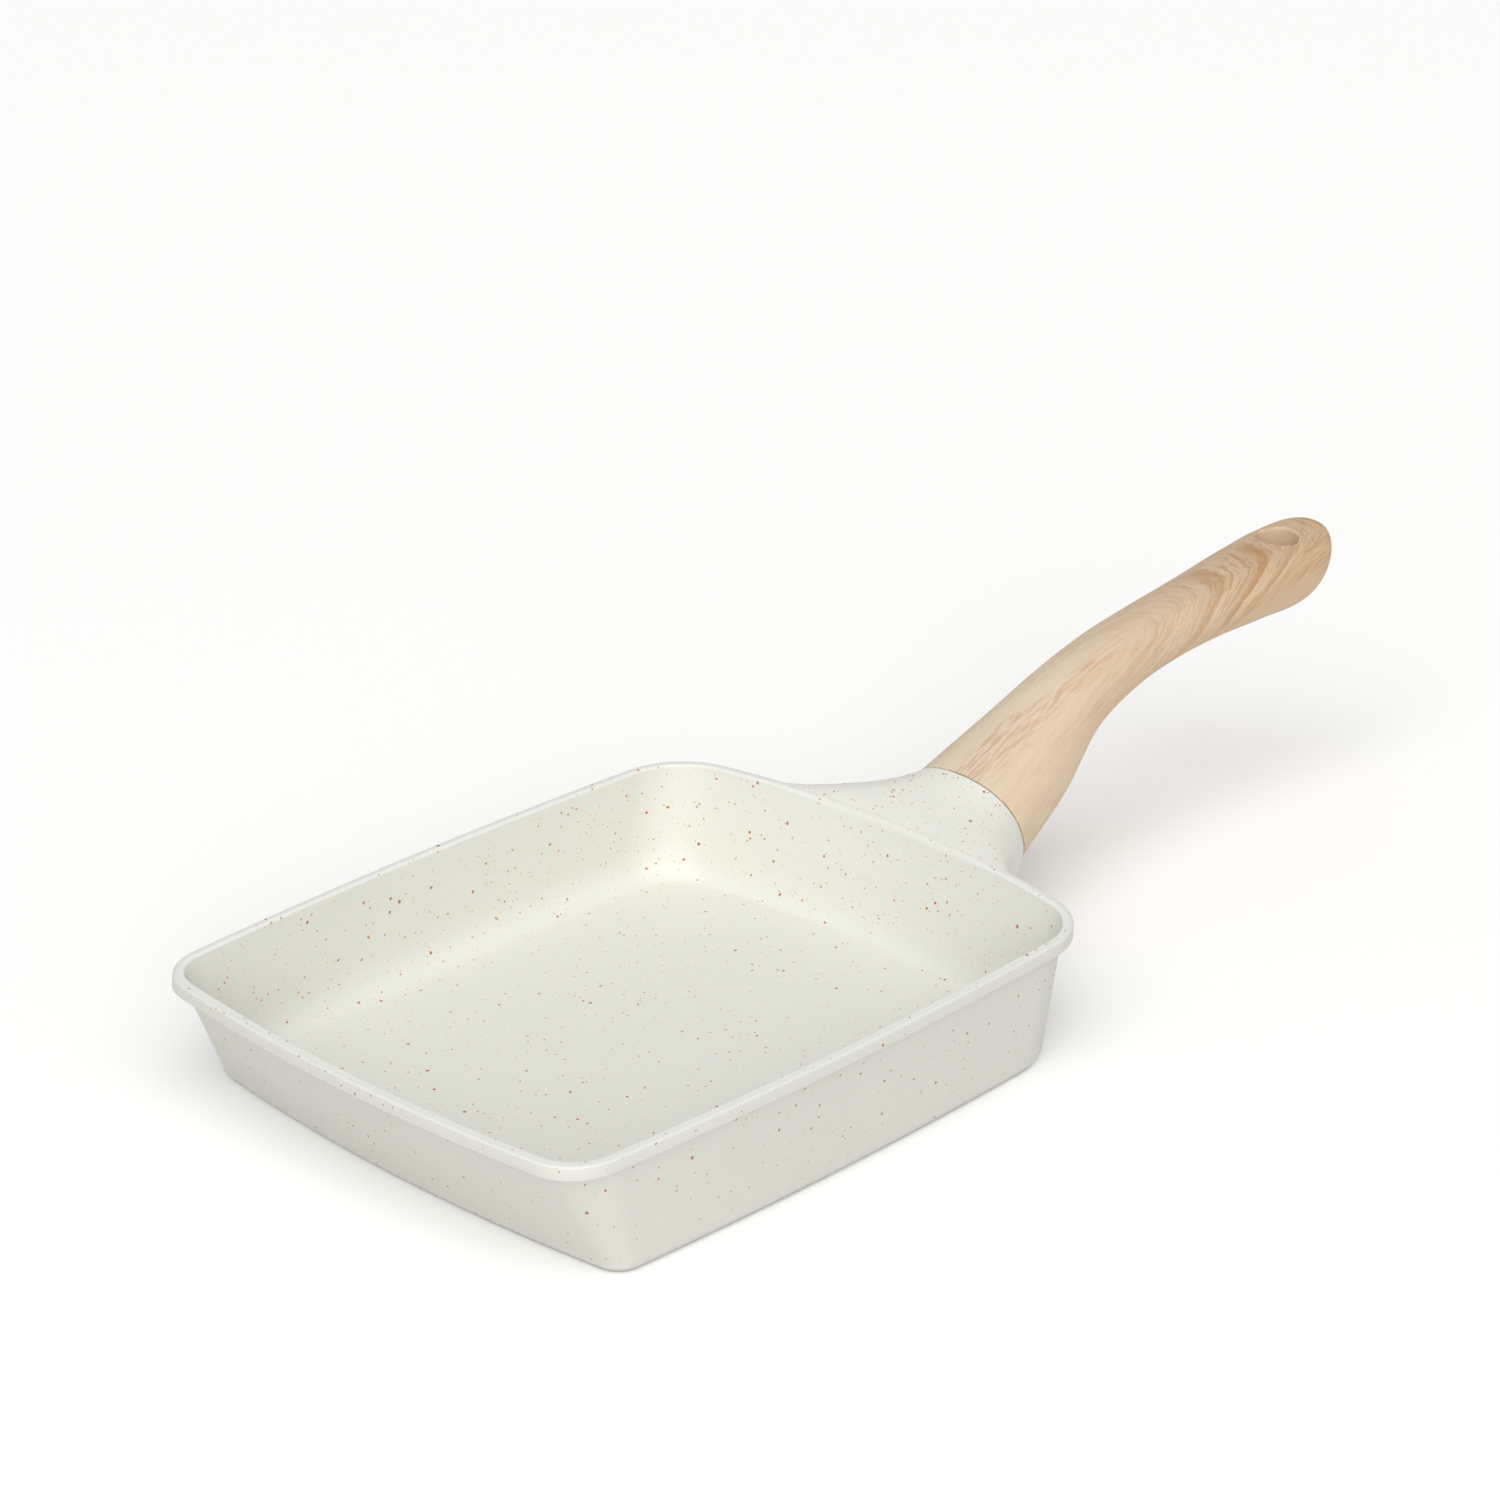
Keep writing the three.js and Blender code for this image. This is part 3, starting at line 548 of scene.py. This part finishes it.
def field_skin(field, low, high, step):
    """Surface where a field is zero, on a grid of cubes: one point in each cube that the surface crosses,
    at the mean of its edge crossings, then slid along the field's slope onto the surface; one quad round
    each grid edge that it crosses, turned to face the side where the field is above zero."""
    axes = [np.arange(a, b, step) for a, b in zip(low, high)]
    grid = np.stack(np.meshgrid(*axes, indexing="ij"), -1)
    value = np.stack([field(slab) for slab in grid])
    shape = tuple(n - 1 for n in value.shape)
    total, hits = np.zeros(shape + (3,)), np.zeros(shape)
    crossings = []
    for axis in range(3):
        fore = [slice(None)] * 3
        aft = [slice(None)] * 3
        fore[axis], aft[axis] = slice(None, -1), slice(1, None)
        a, b = value[tuple(fore)], value[tuple(aft)]
        crossed = (a < 0) != (b < 0)
        share = np.where(crossed, a / np.where(crossed, a - b, 1), 0)
        spot = grid[tuple(fore)] + share[..., None] * (grid[tuple(aft)] - grid[tuple(fore)])
        others = [k for k in range(3) if k != axis]
        for i in (0, 1):
            for j in (0, 1):
                cut = [slice(None)] * 3
                cut[others[0]] = slice(i, value.shape[others[0]] - 1 + i)
                cut[others[1]] = slice(j, value.shape[others[1]] - 1 + j)
                hit = crossed[tuple(cut)]
                hits += hit
                total += spot[tuple(cut)] * hit[..., None]
        crossings.append((crossed, a < 0, others))
    used = hits > 0
    number = np.full(shape, -1)
    number[used] = np.arange(used.sum())
    points = total[used] / hits[used][:, None]
    faces = []
    for axis, (crossed, inside, (p, q)) in enumerate(crossings):
        place = np.argwhere(crossed)
        place = place[(place[:, p] > 0) & (place[:, q] > 0)]
        around = []
        for dp, dq in ((-1, -1), (0, -1), (0, 0), (-1, 0)):
            cell = place.copy()
            cell[:, p] += dp
            cell[:, q] += dq
            around.append(number[tuple(cell.T)])
        quad = np.stack(around, -1)
        flip = inside[tuple(place.T)] != (axis != 1)
        quad[flip] = quad[flip][:, ::-1]
        faces.append(quad)
    for _ in range(3):
        points = onto_surface(field, points, step)
    return points, faces


def onto_surface(field, points, step):
    """Slides points along the field's slope, measured over a tenth of a step, by at most half a step."""
    reach = step * 0.1
    here = field(points)
    slope = [(field(points + reach * d) - field(points - reach * d)) / (2 * reach) for d in np.eye(3)]
    slope = np.stack(slope, -1)
    steep = np.maximum((slope**2).sum(1), 0.05)
    move = -slope * (here / steep)[:, None]
    size = np.linalg.norm(move, axis=1)
    return points + move * np.minimum(1, 0.5 * step / np.maximum(size, 1e-9))[:, None]


def wood_figure(place, side, up):
    """Where each point lies in the printed grain: the growth ring through it, counted by the place of the
    ring's top along the handle, how far rings show there, how far short streaks show, and how far it goes
    browner: towards the tip partly the print's warmth and partly painted shade, and round the lower sides
    painted shade.
    A ring runs back from its rounded top by the square of the distance round the handle from the figure's
    middle line, the rings nearer the joint are drawn out longer, and they fade on the far side of the top.
    All places along the handle and distances round it are in millimetres."""
    from_joint = place - LINE[0][0] - LINE_START
    width, height = (np.interp(place, LINE[0], LINE[i]) for i in (4, 5))
    lower = np.where(up < 0, 2 * (width - np.abs(side)), 0)
    round_by = np.abs(side) + lower + 0.5 * (height - up)
    near = -np.sign(side) * round_by  # above zero on the side towards the photograph's camera

    # Rings: their middle line, how far they run back beside it, and how far they show
    middle = np.interp(from_joint, [0, 25, 40, 60, 75, 104, 122], [2.5, 2.5, 5.0, 5.0, 4.5, 0.5, -0.5])
    off = np.abs(near - middle * (1 - smooth(round_by, 14, 26)))
    back = (np.hypot(off, 3) - 3) ** 2 / 5.2
    long_rings = (from_joint + 6.4 * back) / (1 + 0.054 * back)
    ring = 3 * np.logaddexp(long_rings / 3, (from_joint + back) / 3)
    core = np.exp(-((off / 5) ** 2)) * (1 - smooth(from_joint, 66, 96))
    ringed = smooth(ring, 48, 68) * (1 - smooth(round_by, 14.5, 20)) * (1 - 0.8 * core)
    ringed = ringed * (0.3 + 0.35 * smooth(from_joint, 30, 75) + 0.35 * smooth(from_joint, 88, 104))
    ringed = ringed * (1 - 0.75 * smooth(-near, 1, 6) * (1 - smooth(-near, 9, 14)))

    # Streaks: a patch by the joint with a wavy upper edge, a few lines on the far side, and below
    edge = np.interp(from_joint, [0, 9, 21, 26, 30, 35, 40, 50, 57, 64],
                     [-1.5, -2.5, -2.8, -2.0, 0.5, 2.5, 3.3, 3.8, 3.0, 2.0])
    patch = smooth(near, edge - 0.5, edge + 0.6) * (1 - smooth(near, 7, 11))
    patch = patch * (1 - smooth(from_joint, 54, 68))
    far_lines = np.exp(-((near + 4.2) / 1.6) ** 2)
    far_lines = far_lines * smooth(from_joint, 33, 40) * (1 - smooth(from_joint, 52, 60))
    below = 0.5 * smooth(round_by, 18, 26)
    streaked = np.maximum(np.maximum(patch, 0.7 * far_lines), below)

    # Warmth and painted shade: browner towards the tip, partly the print's warmth and partly painted shade;
    # warmer on the near side by the joint; browner round the lower sides, which is painted shade
    warmth_and_shade = 0.85 * smooth(from_joint, 5, 120) + 0.35 * (1 - smooth(from_joint, 40, 90)) * smooth(near, 0, 11)
    # Painted shade round the lower sides, stronger away from the joint
    warmth_and_shade = warmth_and_shade + (0.1 + 0.25 * smooth(from_joint, 20, 60)) * smooth(round_by, 13, 19)
    return ring, ringed, streaked, warmth_and_shade


# Materials

def colour(code):
    """Linear red, green, blue and alpha of an sRGB hex code."""
    part = np.array([int(code[i:i + 2], 16) for i in (1, 3, 5)]) / 255
    linear = np.where(part <= 0.04045, part / 12.92, ((part + 0.055) / 1.055) ** 2.4)
    return (*linear.tolist(), 1.0)


def node(tree, kind, inputs=None, stops=None, **settings):
    """Adds a node with its settings. Inputs are values or the sockets to link; stops fill a colour ramp."""
    made = tree.nodes.new(kind)
    for key, value in settings.items():
        setattr(made, key, value)
    for key, value in (inputs or {}).items():
        if isinstance(value, bpy.types.NodeSocket):
            tree.links.new(value, made.inputs[key])
        else:
            made.inputs[key].default_value = value
    if stops:
        elements = made.color_ramp.elements
        while len(elements) < len(stops):
            elements.new(0.5)
        for element, (place, code) in zip(elements, stops):
            element.position = place
            element.color = colour(code)
    return made


def new_material(name):
    """A node material with its tree and shader."""
    material = bpy.data.materials.new(name)
    material.use_nodes = True
    tree = material.node_tree
    return material, tree, tree.nodes["Principled BSDF"]


def link(tree, socket, shader, key):
    """Links a socket to one of the shader's inputs."""
    tree.links.new(socket, shader.inputs[key])


def ceramic_coating():
    """Sprayed ceramic non-stick coat, off-white and satin, with terracotta specks thrown into it before it
    was baked: soft wide highlights, a very fine orange peel and dots from 0.25 to 1 mm across."""
    material, tree, shader = new_material("speckled_ceramic_coat")
    place = node(tree, "ShaderNodeTexCoord").outputs["Object"]
    place = node(tree, "ShaderNodeVectorMath", {0: place, "Scale": 1 / MM}, operation="SCALE").outputs[0]
    inside = node(tree, "ShaderNodeAttribute", attribute_name="inside").outputs["Fac"]
    specks = node(tree, "ShaderNodeAttribute", attribute_name="specks").outputs["Fac"]
    # Clouds of slightly thicker coat, 50 mm across
    cloud = node(tree, "ShaderNodeTexNoise", {
        "Vector": place, "Scale": 1 / 50, "Detail": 3.0}).outputs["Fac"]
    out = node(tree, "ShaderNodeMix", {"Factor": cloud, "A": colour("#C3C2BA"), "B": colour("#C9C8C0")},
               data_type="RGBA").outputs["Result"]
    within = node(tree, "ShaderNodeMix", {"Factor": cloud, "A": colour("#D9D9D0"), "B": colour("#DEDED5")},
                  data_type="RGBA").outputs["Result"]
    tint = node(tree, "ShaderNodeMix", {"Factor": inside, "A": out, "B": within},
                data_type="RGBA").outputs["Result"]
    white = node(tree, "ShaderNodeAttribute", attribute_name="white").outputs["Fac"]
    tint = node(tree, "ShaderNodeMix", {"Factor": white, "A": tint, "B": colour("#E5E6E1")},
                data_type="RGBA").outputs["Result"]
    # The specks' ragged edges: up to 0.25 mm out of true, in waves of 0.625 mm
    wobble = node(tree, "ShaderNodeTexNoise", {
        "Vector": place, "Scale": 1 / 0.625, "Detail": 1.0}).outputs["Color"]
    wobble = node(tree, "ShaderNodeVectorMath", {0: wobble, 1: (0.5, 0.5, 0.5)},
                  operation="SUBTRACT").outputs[0]
    wobble = node(tree, "ShaderNodeVectorMath", {0: wobble, "Scale": 0.5}, operation="SCALE").outputs[0]
    moved = node(tree, "ShaderNodeVectorMath", {0: place, 1: wobble}, operation="ADD").outputs[0]
    layers = (  # cell in mm, largest radius in mm, share of cells, colours outside and inside, strength
        (2.7, 0.50, 0.36, "#A0522F", "#B8642A", 0.95),
        (1.9, 0.37, 0.52, "#AE6C48", "#C27C3C", 0.8),
        (1.4, 0.27, 0.62, "#BE9372", "#CDA368", 0.65),
    )
    least, crisp = 0.45, 0.8  # smallest radius as a share of the largest, and share of each in full colour
    # Each layer is shifted, so that its cells don't line up with another's
    for number, (cell, radius, share, outer, inner, strength) in enumerate(layers):
        shifted = node(tree, "ShaderNodeVectorMath", {0: moved, 1: (31.7 * number, 12.3, 7.9)},
                       operation="ADD").outputs[0]
        dots = node(tree, "ShaderNodeTexVoronoi", {"Vector": shifted, "Scale": 1 / cell})
        chance = node(tree, "ShaderNodeSeparateColor", {"Color": dots.outputs["Color"]}).outputs
        limit = node(tree, "ShaderNodeMath", {0: specks, 1: share}, operation="MULTIPLY")
        kept = node(tree, "ShaderNodeMath", {0: chance["Red"], 1: limit.outputs[0]}, operation="LESS_THAN")
        size = node(tree, "ShaderNodeMapRange", {
            "Value": chance["Green"], "To Min": least * radius / cell, "To Max": radius / cell})
        edge = node(tree, "ShaderNodeMath", {0: size.outputs[0], 1: crisp}, operation="MULTIPLY")
        spot = node(tree, "ShaderNodeMapRange", {
            "Value": dots.outputs["Distance"], "From Min": size.outputs[0], "From Max": edge.outputs[0],
            "To Max": strength}, interpolation_type="SMOOTHSTEP")
        mask = node(tree, "ShaderNodeMath", {0: spot.outputs[0], 1: kept.outputs[0]}, operation="MULTIPLY")
        speck = node(tree, "ShaderNodeMix", {"Factor": inside, "A": colour(outer), "B": colour(inner)},
                     data_type="RGBA").outputs["Result"]
        tint = node(tree, "ShaderNodeMix", {"Factor": mask.outputs[0], "A": tint, "B": speck},
                    data_type="RGBA").outputs["Result"]
    link(tree, tint, shader, "Base Color")
    # Orange peel, really about 0.3 mm across and drawn 1.1 mm across to show at all
    grit = node(tree, "ShaderNodeTexNoise", {"Vector": place, "Scale": 0.9, "Detail": 2.0}).outputs["Fac"]
    rough = node(tree, "ShaderNodeMapRange", {"Value": grit, "To Min": 0.40, "To Max": 0.50}).outputs[0]
    link(tree, rough, shader, "Roughness")
    peel = node(tree, "ShaderNodeBump", {"Height": grit, "Strength": 0.06, "Distance": 0.2 * MM}).outputs[0]
    link(tree, peel, shader, "Normal")
    shader.inputs["IOR"].default_value = 1.45
    return material


def wood_print():
    """Moulded handle with a wood-grain transfer print under a matt lacquer: growth rings in nested arches
    towards the tip, brown and broad at their tops and thin along the side, short streaks by the joint, and
    faint long fibres all over."""
    material, tree, shader = new_material("wood_grain_print")
    grain = node(tree, "ShaderNodeAttribute", attribute_name="grain").outputs["Vector"]
    figure = node(tree, "ShaderNodeAttribute", attribute_name="figure").outputs["Vector"]
    warmth_and_shade = node(tree, "ShaderNodeAttribute", attribute_name="warmth_and_shade").outputs["Fac"]
    hole = node(tree, "ShaderNodeAttribute", attribute_name="hole").outputs["Fac"]
    part = node(tree, "ShaderNodeSeparateXYZ", {"Vector": figure}).outputs
    along = node(tree, "ShaderNodeSeparateXYZ", {"Vector": grain}).outputs

    noises = []
    for stretch, detail, roughness in (  # turns per mm along, across and up
        ((0.05, 0.1, 0.1), 1.5, 0.5),  # slow wander of the rings, 20 by 10 mm
        ((0.45, 0.9, 0.9), 1.0, 0.5),  # jagged edges of the rings, 2 by 1 mm
        ((0.045, 1.1, 1.1), 3.0, 0.6),  # long fibres, really 0.05 mm wide and drawn 22 by 0.9 mm to show
        ((0.1, 1.2, 1.2), 3.0, 0.5),  # short streaks, 10 by 0.8 mm
    ):
        drawn = node(tree, "ShaderNodeVectorMath", {0: grain, 1: stretch}, operation="MULTIPLY").outputs[0]
        noises.append(node(tree, "ShaderNodeTexNoise", {
            "Vector": drawn, "Scale": 1.0, "Detail": detail, "Roughness": roughness}).outputs["Fac"])
    wander, jag, fibres, streaks = noises
    ring = part["X"]
    for noise, swing in ((wander, 7.0), (jag, 2.4)):  # millimetres
        ring = node(tree, "ShaderNodeMath", {0: noise, 1: swing, 2: ring},
                    operation="MULTIPLY_ADD").outputs[0]
    # Broad dark rings, placed along 100 mm of the handle up to the tip
    span = node(tree, "ShaderNodeMapRange", {"Value": ring, "From Min": 54.7, "From Max": 154.7}).outputs[0]
    bands = node(tree, "ShaderNodeValToRGB", {"Fac": span}, [
        (0.0, "#000000"), (0.10, "#303030"), (0.13, "#686868"), (0.145, "#101010"), (0.22, "#404040"),
        (0.25, "#B0B0B0"), (0.27, "#181818"), (0.35, "#585858"), (0.37, "#101010"), (0.46, "#484848"),
        (0.535, "#E0E0E0"), (0.56, "#141414"), (0.62, "#404040"), (0.695, "#A0A0A0"), (0.74, "#FFFFFF"),
        (0.765, "#1C1C1C"), (0.83, "#484848"), (0.89, "#D8D8D8"), (0.91, "#303030"), (0.97, "#8C8C8C"),
    ]).outputs[0]
    bands = node(tree, "ShaderNodeMapRange", {"Value": bands, "To Max": 0.88}).outputs[0]
    # Fine rings about 1.2 mm apart between them, which change slowly along and across the handle
    slow = [node(tree, "ShaderNodeMath", {0: along[axis], 1: rate}, operation="MULTIPLY").outputs[0]
            for axis, rate in (("X", 0.11), ("Y", 0.17))]
    domain = node(tree, "ShaderNodeCombineXYZ", {"X": ring, "Y": slow[0], "Z": slow[1]}).outputs[0]
    lines = node(tree, "ShaderNodeTexNoise", {
        "Vector": domain, "Scale": 0.85, "Detail": 2.0, "Roughness": 0.6}).outputs["Fac"]
    masks = []
    for noise, low, high, strength in (
        (fibres, 0.45, 0.75, 0.3),
        (lines, 0.44, 0.64, 0.8),
        (streaks, 0.42, 0.68, 0.7),
    ):
        masks.append(node(tree, "ShaderNodeMapRange", {
            "Value": noise, "From Min": low, "From Max": high, "To Max": strength}).outputs[0])
    shown = masks[:1]
    for pattern, where in ((masks[1], part["Y"]), (bands, part["Y"]), (masks[2], part["Z"])):
        shown.append(node(tree, "ShaderNodeMath", {0: pattern, 1: where}, operation="MULTIPLY").outputs[0])
    shown.append(hole)
    # The base goes browner by the warmth attribute: partly painted shade towards the tip, painted shade
    # round the lower sides
    tint = node(tree, "ShaderNodeMix", {"Factor": warmth_and_shade, "A": colour("#D5C5AD"), "B": colour("#C8AD8F")},
                data_type="RGBA").outputs["Result"]
    for mask, code in zip(shown, ("#BC9E7C", "#AF8A64", "#AA8153", "#BC9473", "#D2BA9C")):
        tint = node(tree, "ShaderNodeMix", {"Factor": mask, "A": tint, "B": colour(code)},
                    data_type="RGBA").outputs["Result"]
    link(tree, tint, shader, "Base Color")
    rough = node(tree, "ShaderNodeMapRange", {"Value": fibres, "To Min": 0.52, "To Max": 0.62})
    link(tree, rough.outputs[0], shader, "Roughness")
    relief = node(tree, "ShaderNodeBump", {"Height": fibres, "Strength": 0.05, "Distance": 0.2 * MM})
    link(tree, relief.outputs[0], shader, "Normal")
    return material


def brushed_steel(name, stretch, code):
    """Steel, brushed stainless or zinc-plated: fine scratches, which spread each light into a soft streak
    across them, or the fine mottle of plating where the stretch is the same every way. Stretch is turns per
    mm along x, y and z. Both are really about 0.02 mm wide and drawn ten times as wide or more, to show."""
    material, tree, shader = new_material(name)
    place = node(tree, "ShaderNodeTexCoord").outputs["Object"]
    place = node(tree, "ShaderNodeVectorMath", {0: place, "Scale": 1 / MM}, operation="SCALE").outputs[0]
    drawn = node(tree, "ShaderNodeVectorMath", {0: place, 1: stretch}, operation="MULTIPLY").outputs[0]
    lines = node(tree, "ShaderNodeTexNoise", {"Vector": drawn, "Scale": 1.0, "Detail": 4.0}).outputs["Fac"]
    light = np.array(colour(code))
    dark = light * [0.8, 0.8, 0.8, 1]
    tint = node(tree, "ShaderNodeMix", {"Factor": lines, "A": tuple(dark), "B": tuple(light)},
                data_type="RGBA").outputs["Result"]
    link(tree, tint, shader, "Base Color")
    rough = node(tree, "ShaderNodeMapRange", {"Value": lines, "To Min": 0.26, "To Max": 0.42}).outputs[0]
    link(tree, rough, shader, "Roughness")
    scratch = node(tree, "ShaderNodeBump", {
        "Height": lines, "Strength": 0.12, "Distance": 0.1 * MM}).outputs[0]
    link(tree, scratch, shader, "Normal")
    shader.inputs["Metallic"].default_value = 1.0
    return material


# Camera, light and floor

def studio():
    """Camera at the photograph's angle, a white floor and sky, a wide soft light beside the camera and a
    small soft box by the near corner. The floor is matt white paint: it takes soft shadows and no shine."""
    scene = bpy.context.scene
    data = bpy.data.cameras.new("camera")
    data.sensor_fit = "HORIZONTAL"
    data.sensor_width = 36.0
    data.lens = CAMERA_LENS
    data.clip_end = 50.0
    camera = bpy.data.objects.new("camera", data)
    camera.location = CAMERA_PLACE
    camera.rotation_euler = (math.radians(90 - CAMERA_DIP), 0, math.radians(CAMERA_TURN))
    scene.collection.objects.link(camera)
    scene.camera = camera
    scene.view_settings.view_transform = "Standard"
    world = bpy.data.worlds.new("studio_sky")
    world.use_nodes = True
    world.node_tree.nodes["Background"].inputs["Color"].default_value = (1, 1, 1, 1)
    world.node_tree.nodes["Background"].inputs["Strength"].default_value = SKY_STRENGTH
    scene.world = world
    for name, kind, energy, spread, place, (tilt, turn) in LAMPS:
        lamp = bpy.data.lights.new(name, kind)
        lamp.energy = energy
        for key, value in spread.items():
            setattr(lamp, key, value)
        holder = bpy.data.objects.new(name, lamp)
        holder.location = place
        holder.rotation_euler = (math.radians(tilt), 0, math.radians(turn))
        scene.collection.objects.link(holder)
    material, _, shader = new_material("white_floor")
    shader.inputs["Base Color"].default_value = colour("#FAFAF9")
    shader.inputs["Roughness"].default_value = 0.9
    corners = np.array([[-1, -1], [1, -1], [1, 1], [-1, 1]]) * FLOOR_HALF
    corners = np.column_stack([corners, np.full(4, -FLOOR_DROP)]) / MM
    floor = mesh_piece("floor", corners, [np.array([[0, 1, 2, 3]])], material)


studio()

# The casting: bowl, collar and tongue
bowl_skin, bowl_inside, rim_white = bowl()
collar_skin, collar_inside, collar_closer = collar()
tongue_skin = tongue()
points, faces = joined(bowl_skin, collar_skin, tongue_skin)
inside = np.concatenate([bowl_inside, collar_inside, np.full(len(tongue_skin[0]), INSIDE)])
white = np.zeros(len(points))
white[:len(rim_white)] = rim_white
# Fewest specks outside, more on the floor, more still on the inner walls and most on the collar
on_floor = inside * (1 - smooth(points[:, 2], FLOOR_TOP, COVE_TOP - 2))
specks = (OUTSIDE_SPECKS + (1 - OUTSIDE_SPECKS) * inside) * (1 - FEWER_ON_FLOOR * on_floor)
specks[len(bowl_inside):len(bowl_inside) + len(collar_inside)] *= collar_closer
casting = mesh_piece("pan_casting", points, faces, ceramic_coating(), {
    "inside": ("FLOAT", "value", inside),
    "white": ("FLOAT", "value", white),
    "specks": ("FLOAT", "value", specks),
})
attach(casting, "root")
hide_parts("pan_body")

# The handle
points, faces = field_skin(handle_from_joint, HANDLE_LOW, HANDLE_HIGH, HANDLE_STEP)
points = JOINT + points @ JOINT_AXES
place, side, up, _ = along_handle(points)
grain = np.column_stack([place, side, up])
ring, ringed, streaked, warmth_and_shade = wood_figure(place, side, up)
in_hole = 1 - smooth(hole_field(points), BARE_TO, PRINT_FROM)
grip = mesh_piece("handle_grip", points, faces, wood_print(), {
    "grain": ("FLOAT_VECTOR", "vector", grain),
    "figure": ("FLOAT_VECTOR", "vector", np.column_stack([ring, ringed, streaked])),
    # Browning of the print, with painted shade towards the tip and round the lower sides
    "warmth_and_shade": ("FLOAT", "value", warmth_and_shade),
    "hole": ("FLOAT", "value", in_hole),
})
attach(grip, "root")
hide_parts("handle")

# The steel pieces underneath, as the solids are
finishes = {
    "base_plate": brushed_steel("brushed_plate_steel", (0.03, 3.0, 3.0), "#C9CACB"),
    "handle_screw": brushed_steel("plated_screw_steel", (1.2, 1.2, 0.4), "#BDBEC0"),
    "screw_washer": brushed_steel("plated_washer_steel", (0.9, 0.9, 0.9), "#C4C5C6"),
}
for name, finish in finishes.items():
    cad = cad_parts[name]
    cad.data.materials.clear()
    cad.data.materials.append(finish)
